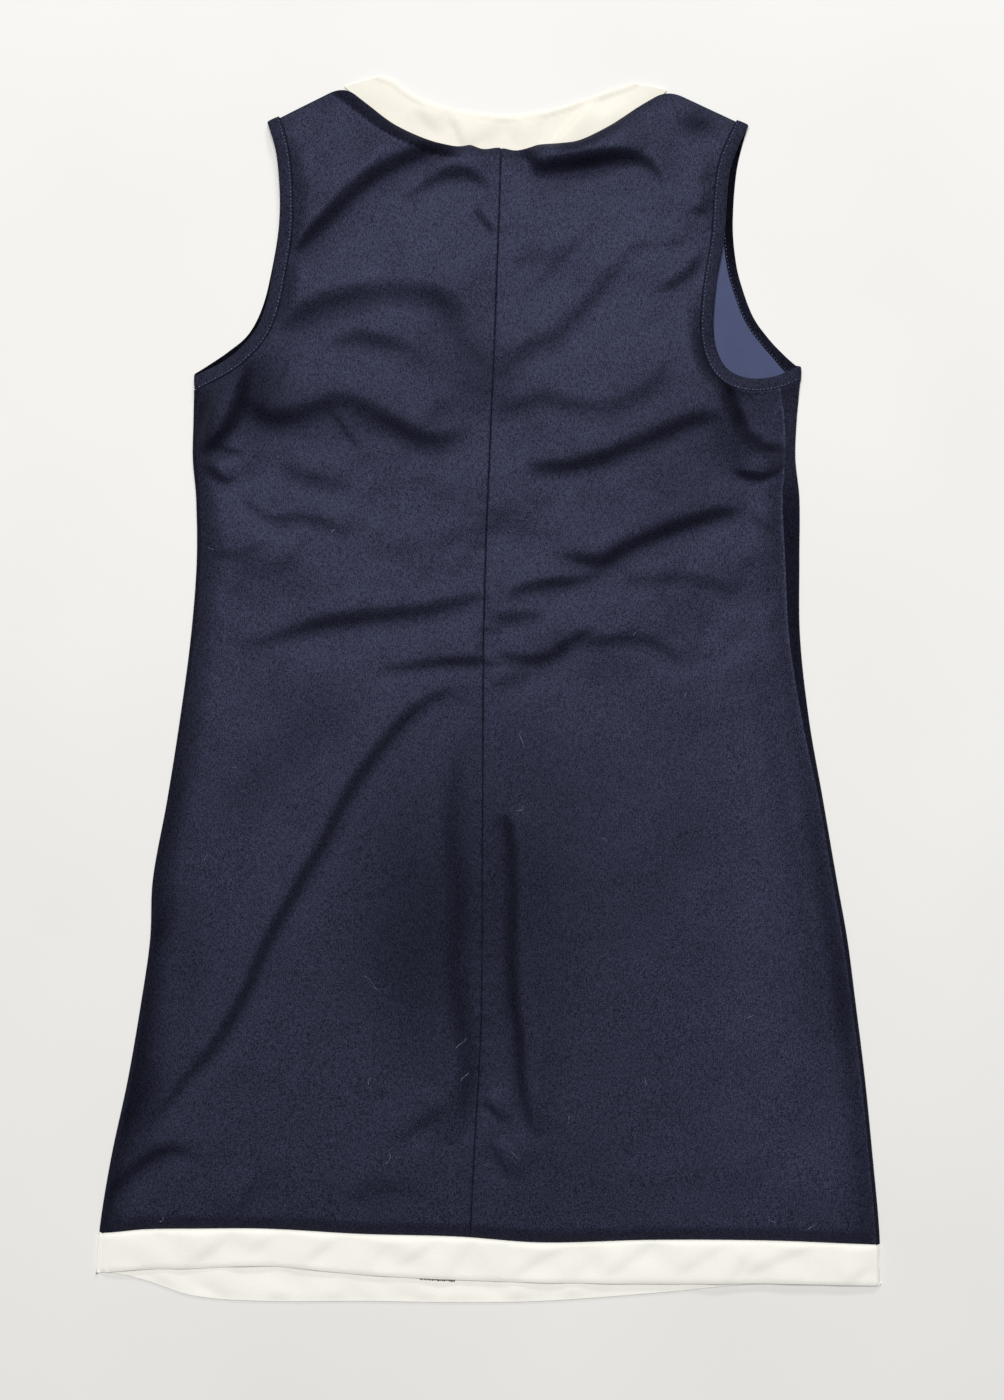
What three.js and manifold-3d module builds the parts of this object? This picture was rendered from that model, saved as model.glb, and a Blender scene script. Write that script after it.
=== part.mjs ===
// A sleeveless shift dress laid out flat, back side up, in millimetres, +Z up.
// The front lies on the surface, the back lies on it, and the two meet at the side and shoulder seams.
// The origin is the middle of the outline, on the surface: +Y runs to the neck and +X to the right hand side.
import * as THREE from "three";
import { mergeVertices } from "three/addons/utils/BufferGeometryUtils.js";
import Module from "manifold-3d";

const wasm = await Module();
wasm.setup();

// Driving dimensions
const CLOTH = 1.2; // wall of the double knit, and of the doubled trims
const SEAM_GAP = 0.3; // between two pieces at a seam
const BAND_WIDTH = 10; // armhole bands
const HEM_BAND_DEPTH = 32;
const FOLD_RISE = 4; // top of the upper layer where it turns over the side
const SHOULDER_RISE = 2 * CLOTH + SEAM_GAP; // the two layers lie close at the shoulder seam
const REST_RISE = 5.6; // top of the upper layer away from the edges
const EDGE_RUN = 16; // how fast the upper layer settles from rest to the edges
const SHOULDER_RUN = 30; // how far the pressed shoulder reaches into the panel
const PANEL_X_STEP = 20;
const BODICE_Y_STEP = 17;
const SKIRT_Y_STEP = 32;
const WAIST_Y = -30; // below it the folds are long and need fewer rows
const OUTLINE_STEP = 16;
const FINE_STEP = 9; // along the necklines and armholes
const TURN_STEPS = 4; // facets round a turned edge
const SWING_STATIONS = 2; // over which a band's sections swing to lie along a turned edge
const SIDE_FOOT = -480; // where the side lines start, below the hem
const SIDE_HEAD = 260; // and where they end, above the underarms
const CUT_BOTTOM = -1; // of the prisms that cut the layers, under the surface
const CUT_TOP = 40;
const FAR = 400; // beyond the sides and the hem
const FAR_TOP = 600; // beyond the neck
const HEM_REACH = 315; // either way from the middle, just past the sides
const PANEL_FOOT = -440; // where the sheet of a back panel starts, below its hem seam
const PANEL_HEAD = 475; // and where it ends, above the neck
const PANEL_SIDE = 310; // how far out it reaches
const PANEL_PAST_SEAM = { left: 14, right: -18 }; // and how far past the centre back seam
const TURN_OVERLAP = 6; // how far a turned side runs on into the flat sheet
const WELD = 1e-4; // points closer than this are one

// The sides, from underarm to hem: the silhouette, and how far in the side seam lies on the upper layer.
// The front wraps over the right hand edge, most at the bust.
const SIDES = [
  { y: 246, left: -224, right: 236.5, leftInset: 3, rightInset: 16 },
  { y: 228, left: -224.5, right: 236.5, leftInset: 3, rightInset: 15 },
  { y: 205, left: -225, right: 234.5, leftInset: 3, rightInset: 9.5 },
  { y: 176, left: -225.5, right: 233.5, leftInset: 3, rightInset: 8 },
  { y: 146, left: -223, right: 236.5, leftInset: 3, rightInset: 13 },
  { y: 98, left: -222.5, right: 236.5, leftInset: 3, rightInset: 11 },
  { y: 40, left: -227, right: 237, leftInset: 3, rightInset: 8.5 },
  { y: -24, left: -235.5, right: 244, leftInset: 3, rightInset: 5.5 },
  { y: -84, left: -245, right: 254.5, leftInset: 3, rightInset: 3.2 },
  { y: -145, left: -256, right: 265, leftInset: 3, rightInset: 3.2 },
  { y: -190, left: -258, right: 273, leftInset: 3, rightInset: 3.6 },
  { y: -236, left: -264.5, right: 279, leftInset: 3, rightInset: 3 },
  { y: -297, left: -275, right: 286.5, leftInset: 3, rightInset: 3 },
  { y: -358, left: -288, right: 292.5, leftInset: 3, rightInset: 3 },
  { y: -415, left: -297, right: 297.5, leftInset: 3, rightInset: 3 },
  { y: -455, left: -299, right: 298, leftInset: 3, rightInset: 3 },
];

// The free edge of each armhole, from the shoulder tip to the underarm, on the upper and the lower layer.
const ARMHOLES = {
  left: {
    side: -1,
    back: [
      { x: -168, y: 430 },
      { x: -161, y: 403 },
      { x: -159, y: 356 },
      { x: -165, y: 313 },
      { x: -170, y: 290 },
      { x: -178, y: 272 },
      { x: -192, y: 257 },
      { x: -207, y: 247 },
      { x: -222, y: 239 },
    ],
    front: [
      { x: -168, y: 430 },
      { x: -160.5, y: 403 },
      { x: -160, y: 356 },
      { x: -167, y: 313 },
      { x: -174, y: 288 },
      { x: -184, y: 270 },
      { x: -198, y: 258 },
      { x: -211, y: 249 },
      { x: -222, y: 242 },
    ],
  },
  right: {
    side: 1,
    back: [
      { x: 197, y: 427.5 },
      { x: 186, y: 394 },
      { x: 180, y: 342 },
      { x: 173.5, y: 310 },
      { x: 171, y: 276 },
      { x: 175, y: 255 },
      { x: 184, y: 242 },
      { x: 199, y: 236.5 },
      { x: 217, y: 238 },
      { x: 234, y: 245 },
    ],
    front: [
      { x: 197, y: 427.5 },
      { x: 189, y: 396 },
      { x: 186, y: 356 },
      { x: 188, y: 328 },
      { x: 192.5, y: 308 },
      { x: 201.5, y: 284 },
      { x: 214, y: 266.5 },
      { x: 226, y: 254 },
      { x: 234, y: 247 },
    ],
  },
};

// Neck points, and the necklines from left to right.
const NECK_POINT = { left: { x: -109, y: 456 }, right: { x: 136, y: 453 } };
const BACK_NECK = [
  { x: -109, y: 456 },
  { x: -92, y: 444 },
  { x: -72, y: 430 },
  { x: -48, y: 418.5 },
  { x: -22, y: 412.5 },
  { x: 14, y: 410.5 },
  { x: 42, y: 414 },
  { x: 70, y: 418 },
  { x: 92, y: 429 },
  { x: 115, y: 444 },
  { x: 136, y: 453 },
];
const FRONT_NECK = [
  { x: -109, y: 456 },
  { x: -97, y: 446 },
  { x: -79, y: 427 },
  { x: -52, y: 412 },
  { x: -22, y: 404.5 },
  { x: 15, y: 402 },
  { x: 46, y: 404.5 },
  { x: 77, y: 413 },
  { x: 103, y: 429 },
  { x: 123, y: 445 },
  { x: 136, y: 453 },
];
const NECK_BAND_TOP = [
  { x: -82, y: 467 },
  { x: -73, y: 464 },
  { x: -62, y: 455.5 },
  { x: -49, y: 448.5 },
  { x: -33, y: 443.5 },
  { x: -10, y: 439 },
  { x: 15, y: 437 },
  { x: 37, y: 439.5 },
  { x: 56, y: 443.5 },
  { x: 74, y: 449.5 },
  { x: 93, y: 456.5 },
  { x: 109, y: 462 },
];

// The centre back seam, and the seams and free edges of the two hem bands.
const CENTRE_BACK = [
  { y: 430, x: 10 },
  { y: 353, x: 7.5 },
  { y: 270, x: 4.5 },
  { y: 187, x: 1 },
  { y: 62, x: -3.5 },
  { y: -130, x: -5 },
  { y: -254, x: -6 },
  { y: -350, x: -11 },
  { y: -430, x: -15 },
];
const HEM = [
  { x: -290, backSeam: -412, backEdge: -443.6, frontEdge: -444 },
  { x: -262, backSeam: -412, backEdge: -441, frontEdge: -447 },
  { x: -225, backSeam: -411, backEdge: -440, frontEdge: -461 },
  { x: -170, backSeam: -410, backEdge: -438.5, frontEdge: -465 },
  { x: -97, backSeam: -414, backEdge: -445, frontEdge: -466 },
  { x: -24, backSeam: -416, backEdge: -449, frontEdge: -467 },
  { x: 40, backSeam: -420.5, backEdge: -451, frontEdge: -466 },
  { x: 125, backSeam: -418.5, backEdge: -452, frontEdge: -460 },
  { x: 212, backSeam: -419, backEdge: -452, frontEdge: -452.5 },
  { x: 290, backSeam: -422, backEdge: -453.6, frontEdge: -454 },
];

// The bust darts: a tuck on the inside of the front, from the side seam to its point.
const BUST_DART = { y: 178, atSide: 205, atPoint: 112, rise: 16, width: 12 };

// The largest folds of the upper layer, each a ridge with a trough on its hem side.
const FOLDS = [
  { fold: "left shoulder arc", x0: -148, y0: 338, x1: -100, y1: 395, x2: -26, y2: 411, rise: 2.6, width: 17 },
  { fold: "left chest", x0: -170, y0: 208, x1: -92, y1: 212, x2: -14, y2: 193, rise: 2.2, width: 18 },
  { fold: "left underarm", x0: -185, y0: 232, x1: -196, y1: 196, x2: -205, y2: 180, rise: 1.6, width: 14 },
  { fold: "left waist", x0: -168, y0: 35, x1: -76, y1: 55, x2: -14, y2: 68, rise: 1.8, width: 20 },
  { fold: "right shoulder arc", x0: 36, y0: 399, x1: 90, y1: 403, x2: 129, y2: 389, rise: 3, width: 17 },
  { fold: "right blade", x0: 11, y0: 240, x1: 62, y1: 272, x2: 103, y2: 323, rise: 2.2, width: 18 },
  { fold: "right chest", x0: 12, y0: 216, x1: 70, y1: 220, x2: 128, y2: 228, rise: 1.7, width: 18 },
  { fold: "right bust", x0: 36, y0: 170, x1: 100, y1: 178, x2: 174, y2: 205, rise: 2.4, width: 18 },
  { fold: "right underarm", x0: 162, y0: 253, x1: 184, y1: 202, x2: 224, y2: 184, rise: 2.6, width: 16 },
  { fold: "right midriff", x0: 70, y0: 99, x1: 124, y1: 114, x2: 187, y2: 136, rise: 2.4, width: 18 },
  { fold: "left skirt drape", x0: -34, y0: -2, x1: -134, y1: -125, x2: -242, y2: -313, rise: 3, width: 26 },
  { fold: "left of seam", x0: -26, y0: -46, x1: -30, y1: -180, x2: -18, y2: -321, rise: 1.4, width: 24 },
  { fold: "right of seam", x0: 8, y0: -108, x1: 20, y1: -210, x2: 28, y2: -325, rise: 1.8, width: 24 },
  { fold: "hem corner", x0: -293, y0: -379, x1: -266, y1: -362, x2: -239, y2: -352, rise: 1.8, width: 16 },
];
const FOLD_SAMPLES = 16;
const TROUGH_SHARE = 0.7; // a trough is shallower than its ridge
const FOLD_REACH = 4; // widths from its line where a fold has died out
const FOLD_TAPER = 0.04; // share of its length that a fold's blunt end leaves out

const NAVY = new THREE.MeshStandardMaterial({ color: 0x38394b, roughness: 0.78, metalness: 0 });
const CREAM = new THREE.MeshStandardMaterial({ color: 0xf0ede2, roughness: 0.82, metalness: 0 });

const TOWARDS_HEM = new THREE.Vector3(0, -1, 0);

// Curves and tables

const vectors = (rows) => rows.map((row) => new THREE.Vector2(row.x, row.y));

// A smooth line through a table's points, in about equal steps.
function smoothLine(rows, step = FINE_STEP) {
  const curve = new THREE.SplineCurve(vectors(rows));
  return curve.getSpacedPoints(Math.round(curve.getLength() / step));
}

// The value of one column of a table at a place between its rows, eased so that it has no kinks.
function column(table, key, at, name) {
  const rising = table[0][key] < table[table.length - 1][key] ? table : [...table].reverse();
  const last = rising.length - 2;
  const found = rising.findIndex((row, i) => i <= last && at <= rising[i + 1][key]);
  const i = found < 0 ? last : found;
  const value = (k) => rising[THREE.MathUtils.clamp(k, 0, last + 1)][name];
  const place = (k) => rising[THREE.MathUtils.clamp(k, 0, last + 1)][key];
  const slope = (k) => (value(k + 1) - value(k - 1)) / (place(k + 1) - place(k - 1));
  const run = place(i + 1) - place(i);
  const t = THREE.MathUtils.clamp((at - place(i)) / run, 0, 1);
  const s = 1 - t;
  const start = s * s * (1 + 2 * t) * value(i) + t * t * (1 + 2 * s) * value(i + 1);
  return start + s * s * t * run * slope(i) - t * t * s * run * slope(i + 1);
}

const side = (y, name) => column(SIDES, "y", y, name);
const hemAt = (x, name) => column(HEM, "x", x, name);
const centreBack = (y) => column(CENTRE_BACK, "y", y, "x");

// The line moved sideways, to its left hand by a positive distance.
function moved(line, distance) {
  return line.map((point, i) => {
    const before = line[Math.max(i - 1, 0)];
    const after = line[Math.min(i + 1, line.length - 1)];
    const along = after.clone().sub(before).normalize();
    return new THREE.Vector2(point.x - along.y * distance, point.y + along.x * distance);
  });
}

// Numbers from low to high in steps of about the given size.
function steps(low, high, step) {
  const count = Math.max(1, Math.round((high - low) / step));
  return Array.from({ length: count + 1 }, (_, i) => low + ((high - low) * i) / count);
}

const SIDE_STATIONS = steps(SIDE_FOOT, SIDE_HEAD, OUTLINE_STEP * 2);

function distanceToLine(line, x, y) {
  let best = Infinity;
  for (let i = 0; i + 1 < line.length; i++) {
    const [a, b] = [line[i], line[i + 1]];
    const [dx, dy] = [b.x - a.x, b.y - a.y];
    const t = THREE.MathUtils.clamp(((x - a.x) * dx + (y - a.y) * dy) / (dx * dx + dy * dy), 0, 1);
    best = Math.min(best, Math.hypot(x - a.x - t * dx, y - a.y - t * dy));
  }
  return best;
}

// Solids

function solid(geometry) {
  for (const name of ["normal", "uv"]) geometry.deleteAttribute(name);
  const merged = mergeVertices(geometry, WELD);
  const mesh = new wasm.Mesh({
    numProp: 3,
    vertProperties: new Float32Array(merged.attributes.position.array),
    triVerts: new Uint32Array(merged.index.array),
  });
  return new wasm.Manifold(mesh);
}

// A straight sided block over a plan outline.
function prism(outline, bottom = CUT_BOTTOM, top = CUT_TOP) {
  const shape = new THREE.Shape(outline);
  const block = new THREE.ExtrudeGeometry(shape, { depth: top - bottom, bevelEnabled: false });
  return solid(block.translate(0, 0, bottom));
}

// A closed solid between rows of points: the rows run along the solid and each is a ring round its section.
function loft(rings, closed = false) {
  const size = rings[0].length;
  const points = rings.flat();
  const faces = [];
  const quad = (a, b, c, d) => faces.push(a, b, c, a, c, d);
  const spans = closed ? rings.length : rings.length - 1;
  for (let i = 0; i < spans; i++) {
    const [here, next] = [i * size, ((i + 1) % rings.length) * size];
    for (let j = 0; j < size; j++) {
      const k = (j + 1) % size;
      quad(here + j, next + j, next + k, here + k);
    }
  }
  if (!closed) {
    // The end sections are strips, so each is closed by facing pairs of its points.
    for (let j = 0; j + 1 < size / 2; j++) {
      const [far, last] = [size - 1 - j, (rings.length - 1) * size];
      quad(j, j + 1, far - 1, far);
      quad(last + far, last + far - 1, last + j + 1, last + j);
    }
  }
  const geometry = new THREE.BufferGeometry();
  const numbers = points.flatMap((p) => p.toArray());
  geometry.setAttribute("position", new THREE.Float32BufferAttribute(numbers, 3));
  geometry.setIndex(faces);
  const made = solid(geometry);
  if (made.volume() > 0) return made;
  const turned = [];
  for (let i = 0; i < faces.length; i += 3) turned.push(faces[i], faces[i + 2], faces[i + 1]);
  geometry.setIndex(turned);
  return solid(geometry);
}

// A wall of cloth under a top surface z = rise(x, y), over a grid of x and y.
function wall(xs, ys, rise) {
  const rings = ys.map((y) => {
    const top = xs.map((x) => new THREE.Vector3(x, y, rise(x, y)));
    const under = top.map((p) => new THREE.Vector3(p.x, p.y, p.z - CLOTH));
    return [...top, ...under.reverse()];
  });
  return loft(rings);
}

// The shoulder seams, and the lines of the armhole seams on each layer.
const SHOULDERS = ["left", "right"].map((name) => vectors([ARMHOLES[name].back[0], NECK_POINT[name]]));

// One armhole band's stations along one layer, from shoulder to underarm. Each holds a point of the free
// edge, the way across to the seam and the band's outward normal. Near a turned edge the way across swings
// to lie along that edge.
function bandStations(name, layer) {
  const { side: sign, [layer]: rows } = ARMHOLES[name];
  const [tip, neck] = [rows[0], NECK_POINT[name]];
  const shoulder = new THREE.Vector3(neck.x - tip.x, neck.y - tip.y, 0).normalize();
  const line = smoothLine(rows);
  const last = line.length - 1;
  return line.map((p, i) => {
    const along = line[Math.min(i + 1, last)].clone().sub(line[Math.max(i - 1, 0)]).normalize();
    const square = new THREE.Vector3(along.y, -along.x, 0).multiplyScalar(sign);
    const toShoulder = Math.max(0, 1 - i / SWING_STATIONS);
    const toUnderarm = Math.max(0, 1 - (last - i) / SWING_STATIONS);
    const across = square.clone().multiplyScalar(1 - toShoulder - toUnderarm);
    across.addScaledVector(shoulder, toShoulder).addScaledVector(TOWARDS_HEM, toUnderarm);
    across.multiplyScalar(BAND_WIDTH / across.dot(square));
    const top = THREE.MathUtils.lerp(FOLD_RISE, SHOULDER_RISE, pressed(p.x, p.y));
    const height = layer === "front" ? CLOTH / 2 : top - CLOTH / 2;
    const normal = new THREE.Vector3(0, 0, layer === "front" ? -1 : 1);
    return { at: new THREE.Vector3(p.x, p.y, height), across, normal };
  });
}

// The armhole seam of a layer, from past the shoulder to past the underarm.
function armholeSeam(name, layer) {
  const reach = 1 + SEAM_GAP / BAND_WIDTH;
  const edge = (which) =>
    bandStations(name, which).map(({ at, across }) => at.clone().addScaledVector(across, reach));
  const seam = edge(layer).map((p) => new THREE.Vector2(p.x, p.y));
  const foot = Math.min(...["back", "front"].map((which) => edge(which).pop().y));
  const outwards = ARMHOLES[name].side * BAND_WIDTH * 2;
  const above = seam[0].clone().add(seam[0].clone().sub(seam[1]).setLength(BAND_WIDTH * 2));
  const last = seam[seam.length - 1];
  return [above, ...seam, new THREE.Vector2(last.x, foot), new THREE.Vector2(last.x + outwards, foot)];
}

// The space beside an armhole, cut away from a layer.
function armholeCut(name, layer) {
  const seam = armholeSeam(name, layer);
  const outside = ARMHOLES[name].side * FAR;
  const foot = seam[seam.length - 1].y;
  const corners = [new THREE.Vector2(outside, foot), new THREE.Vector2(outside, FAR_TOP)];
  return prism([...seam, ...corners, new THREE.Vector2(seam[0].x, FAR_TOP)]);
}

// A side of the dress as a line up from below the hem, moved in by a distance that may follow the height.
function sideLine(name, inwards) {
  const inset = (y) => (name === "left" ? inwards(y, name) : -inwards(y, name));
  return SIDE_STATIONS.map((y) => new THREE.Vector2(side(y, name) + inset(y), y));
}

// The block between two side lines, open to neck and hem.
function betweenSides(inwards) {
  const [left, right] = [sideLine("left", inwards), sideLine("right", inwards)];
  const above = (line) => line[line.length - 1].clone().setY(FAR_TOP);
  return prism([...right, above(right), above(left), ...left.reverse()]);
}

const toSideSeam = (y, name) => side(y, name + "Inset") + SEAM_GAP;
const toSideTurn = () => (FOLD_RISE + CLOTH) / 2;

// The plan between a hem line and a top edge, open to the sides.
function lengthPlan(hem, top) {
  const [left, right] = [-FAR, FAR].map((x) => new THREE.Vector2(x, SIDES[0].y));
  return [...hem, right, ...[...top].reverse(), left];
}

// The top edge of a layer, from the left shoulder tip over the neckline to the right one.
function topEdge(neckline) {
  const beyond = (tip, neck) => tip.clone().add(tip.clone().sub(neck).setLength(BAND_WIDTH));
  const [left, right] = SHOULDERS;
  return [beyond(left[0], left[1]), ...smoothLine(neckline), beyond(right[0], right[1])];
}

function hemLine(name, offset = 0) {
  const [first, last] = [HEM[0].x, HEM[HEM.length - 1].x];
  const xs = [-HEM_REACH, ...steps(first, last, OUTLINE_STEP * 2), HEM_REACH];
  return xs.map((x) => new THREE.Vector2(x, hemAt(x, name) + offset));
}

// Folds of the upper layer

const foldLines = FOLDS.map((row) => {
  const [from, to] = [new THREE.Vector2(row.x0, row.y0), new THREE.Vector2(row.x2, row.y2)];
  const middle = from.clone().add(to).divideScalar(2);
  const corner = new THREE.Vector2(row.x1, row.y1).multiplyScalar(2).sub(middle);
  return new THREE.QuadraticBezierCurve(from, corner, to).getPoints(FOLD_SAMPLES);
});

// The height that one fold adds: a ridge above its line, a trough below it, both dying out at its ends.
function foldRise(row, line, x, y) {
  let [best, at, signed] = [Infinity, 0, 0];
  line.forEach((p, i) => {
    const distance = Math.hypot(x - p.x, y - p.y);
    if (distance >= best) return;
    const [a, b] = [line[Math.max(i - 1, 0)], line[Math.min(i + 1, line.length - 1)]];
    const along = Math.sign(b.x - a.x || 1);
    const cross = (b.x - a.x) * (y - p.y) - (b.y - a.y) * (x - p.x);
    [best, at, signed] = [distance, i / FOLD_SAMPLES, Math.sign(cross * along) * distance];
  });
  const s = signed / row.width;
  if (Math.abs(s) > FOLD_REACH) return 0;
  const profile = s * Math.exp(1 - Math.abs(s)) * (s < 0 ? TROUGH_SHARE : 1);
  return row.rise * profile * Math.sin(Math.PI * THREE.MathUtils.clamp(at, FOLD_TAPER, 1 - FOLD_TAPER));
}

const upperSides = ["left", "right"].map((name) =>
  steps(-FAR, SIDES[0].y - BAND_WIDTH, OUTLINE_STEP).map((y) => new THREE.Vector2(side(y, name), y)),
);
const upperArmholes = ["left", "right"].map((name) => smoothLine(ARMHOLES[name].back));

// How much a place lies pressed to the shoulder seam, from 1 on it to 0 clear of it.
function pressed(x, y) {
  const away = Math.min(...SHOULDERS.map((line) => distanceToLine(line, x, y)));
  return 1 - THREE.MathUtils.smoothstep(away, 0, SHOULDER_RUN);
}

// The top of the upper layer.
function backRise(x, y) {
  const edges = [...upperSides, ...upperArmholes, hemLine("backSeam")];
  const inside = Math.min(...edges.map((line) => distanceToLine(line, x, y)));
  const settled = 1 - Math.exp(-inside / EDGE_RUN);
  const edge = THREE.MathUtils.lerp(FOLD_RISE, SHOULDER_RISE, pressed(x, y));
  const folds = FOLDS.reduce((sum, row, i) => sum + foldRise(row, foldLines[i], x, y), 0);
  const lift = (REST_RISE - FOLD_RISE) * (1 - pressed(x, y)) + folds;
  return edge + Math.max(lift * settled, 0);
}

// A side where the lower layer turns up and over to the seam: its section in x and z at each y.
function turnedSide(name) {
  const sign = name === "left" ? -1 : 1;
  const radius = (FOLD_RISE - CLOTH) / 2;
  const rings = SIDE_STATIONS.map((y) => {
    const centre = side(y, name) - sign * (radius + CLOTH / 2);
    const seam = side(y, name) - sign * side(y, name + "Inset");
    const path = [{ x: centre - sign * TURN_OVERLAP, z: -radius, angle: -Math.PI / 2 }];
    for (let k = 0; k <= TURN_STEPS; k++) {
      const angle = -Math.PI / 2 + (Math.PI * k) / TURN_STEPS;
      path.push({ x: centre + sign * radius * Math.cos(angle), z: radius * Math.sin(angle), angle });
    }
    const end = Math.min(sign * seam, sign * centre - SEAM_GAP) * sign;
    path.push({ x: end, z: radius, angle: Math.PI / 2 });
    const offset = (distance) =>
      path.map(
        (p) =>
          new THREE.Vector3(
            p.x + sign * distance * Math.cos(p.angle),
            y,
            FOLD_RISE / 2 + p.z + distance * Math.sin(p.angle),
          ),
      );
    return [...offset(CLOTH / 2), ...offset(-CLOTH / 2).reverse()];
  });
  return loft(rings);
}

const turnedSides = () => turnedSide("left").add(turnedSide("right"));

// Pieces

function backPanel(name) {
  const { side: sign } = ARMHOLES[name];
  const [first, last] = [PANEL_PAST_SEAM[name], sign * PANEL_SIDE].sort((a, b) => a - b);
  const xs = steps(first, last, PANEL_X_STEP);
  const skirt = steps(PANEL_FOOT, WAIST_Y, SKIRT_Y_STEP);
  const bodice = steps(WAIST_Y, PANEL_HEAD, BODICE_Y_STEP);
  const sheet = wall(xs, [...skirt, ...bodice.slice(1)], backRise);
  const plan = prism(lengthPlan(hemLine("backSeam", SEAM_GAP), topEdge(BACK_NECK)));
  const half = steps(PANEL_FOOT - BAND_WIDTH, PANEL_HEAD, OUTLINE_STEP * 2).map(
    (y) => new THREE.Vector2(centreBack(y) + (sign * SEAM_GAP) / 2, y),
  );
  const outside = sign * FAR;
  half.push(new THREE.Vector2(outside, PANEL_HEAD), new THREE.Vector2(outside, half[0].y));
  const whole = sheet.intersect(plan).intersect(betweenSides(toSideSeam));
  return whole.intersect(prism(half)).subtract(armholeCut(name, "back"));
}

// The cloth taken up by one bust dart, pressed flat on the inside of the front.
function bustDart(sign) {
  const { y, atSide, atPoint, rise, width } = BUST_DART;
  const outline = [
    new THREE.Vector2(sign * atSide, y - width / 2),
    new THREE.Vector2(sign * atPoint, y + rise),
    new THREE.Vector2(sign * atSide, y + width / 2),
  ];
  return prism(sign > 0 ? outline.reverse() : outline, CLOTH / 2, 2 * CLOTH);
}

// The lower layer: a flat sheet, with both sides turned up and over to the side seams.
function frontPanel() {
  const neck = topEdge(FRONT_NECK);
  const middle = FOLD_RISE / 2;
  const lowerPlan = lengthPlan(hemLine("frontEdge", HEM_BAND_DEPTH + SEAM_GAP), neck);
  const upperPlan = lengthPlan(hemLine("backSeam", SEAM_GAP), neck);
  let lower = prism(lowerPlan, CUT_BOTTOM, middle);
  let upper = prism(upperPlan, middle);
  for (const name of ["left", "right"]) {
    lower = lower.subtract(armholeCut(name, "front"));
    upper = upper.subtract(armholeCut(name, "back"));
  }
  const sheet = prism(lowerPlan, 0, CLOTH).intersect(betweenSides(toSideTurn));
  const turned = sheet.add(turnedSides()).intersect(lower.add(upper));
  return turned.add(bustDart(-1)).add(bustDart(1));
}

// A band of doubled cloth round an armhole: over the upper layer, round the underarm, back along the lower
// layer and round the shoulder.

// The stations of a band round a turned edge, bulging out towards `out`.
function turnStations(from, to, out) {
  const down = from.normal.z;
  const radius = Math.abs(from.at.z - to.at.z) / 2;
  return steps(0, 1, 1 / TURN_STEPS)
    .slice(1, -1)
    .map((share) => {
      const angle = Math.PI * share;
      const at = from.at.clone().lerp(to.at, share);
      at.z = (from.at.z + to.at.z) / 2 + down * radius * Math.cos(angle);
      at.addScaledVector(out, radius * Math.sin(angle));
      const normal = out.clone().multiplyScalar(Math.sin(angle));
      normal.z = down * Math.cos(angle);
      return { at, across: from.across.clone().lerp(to.across, share), normal };
    });
}

function armholeBand(name) {
  const { side: sign, back } = ARMHOLES[name];
  const [tip, neck] = [back[0], NECK_POINT[name]];
  const beyondShoulder = new THREE.Vector3(neck.y - tip.y, tip.x - neck.x, 0).setLength(sign);
  const over = bandStations(name, "back");
  const under = bandStations(name, "front").reverse();
  const stations = [
    ...over,
    ...turnStations(over[over.length - 1], under[0], new THREE.Vector3(sign, 0, 0)),
    ...under,
    ...turnStations(under[under.length - 1], over[0], beyondShoulder),
  ];
  const [half, round] = [CLOTH / 2, CLOTH / 4];
  const section = [
    [1, -half],
    [1, half],
    [round / BAND_WIDTH, half],
    [0, round],
    [0, -round],
    [round / BAND_WIDTH, -half],
  ];
  const ring = ({ at, across, normal }) =>
    section.map(([share, height]) => {
      const point = at.clone().addScaledVector(across, share);
      return point.addScaledVector(normal, height);
    });
  return loft(stations.map(ring), true);
}

function neckBand() {
  const seam = moved(smoothLine(FRONT_NECK), SEAM_GAP);
  return prism([...seam, ...smoothLine(NECK_BAND_TOP).reverse()], 0, CLOTH);
}

// The hem bands: the front one turns up and over at the sides as its panel does.
function hemBand(layer) {
  const outline = (edge, seam) => [...edge, ...[...seam].reverse()];
  const upper = outline(hemLine("backEdge"), hemLine("backSeam"));
  if (layer === "back") {
    return prism(upper, FOLD_RISE - CLOTH, FOLD_RISE).intersect(betweenSides(toSideSeam));
  }
  const lower = outline(hemLine("frontEdge"), hemLine("frontEdge", HEM_BAND_DEPTH));
  const sheet = prism(lower, 0, CLOTH).intersect(betweenSides(toSideTurn));
  const reach = prism(lower, CUT_BOTTOM, FOLD_RISE / 2).add(prism(upper, FOLD_RISE / 2));
  return sheet.add(turnedSides()).intersect(reach);
}

// The dress

function piece(name, made, material) {
  const { vertProperties, triVerts } = made.getMesh();
  const geometry = new THREE.BufferGeometry();
  geometry.setAttribute("position", new THREE.BufferAttribute(vertProperties, 3));
  geometry.setIndex(new THREE.BufferAttribute(triVerts, 1));
  geometry.computeVertexNormals();
  const mesh = new THREE.Mesh(geometry, material);
  mesh.name = name;
  return mesh;
}

const dress = new THREE.Group();
dress.add(
  piece("front_panel", frontPanel(), NAVY),
  piece("back_panel_left", backPanel("left"), NAVY),
  piece("back_panel_right", backPanel("right"), NAVY),
  piece("armhole_band_left", armholeBand("left"), NAVY),
  piece("armhole_band_right", armholeBand("right"), NAVY),
  piece("neck_band_front", neckBand(), CREAM),
  piece("hem_band_front", hemBand("front"), CREAM),
  piece("hem_band_back", hemBand("back"), CREAM),
);
export default dress;
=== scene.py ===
"""A sleeveless shift dress, laid out flat with its back side up.

The front lies on the surface and the back lies on it. The body and the armhole bands are a navy
double knit, the trims of the neck and the hem are a cream crepe knit. Tables and sizes are in
millimetres, in the frame of the CAD model: +Y runs to the neck, +X to the right hand side, and the
surface is z = 0. Meshes are made in metres.
"""

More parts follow.
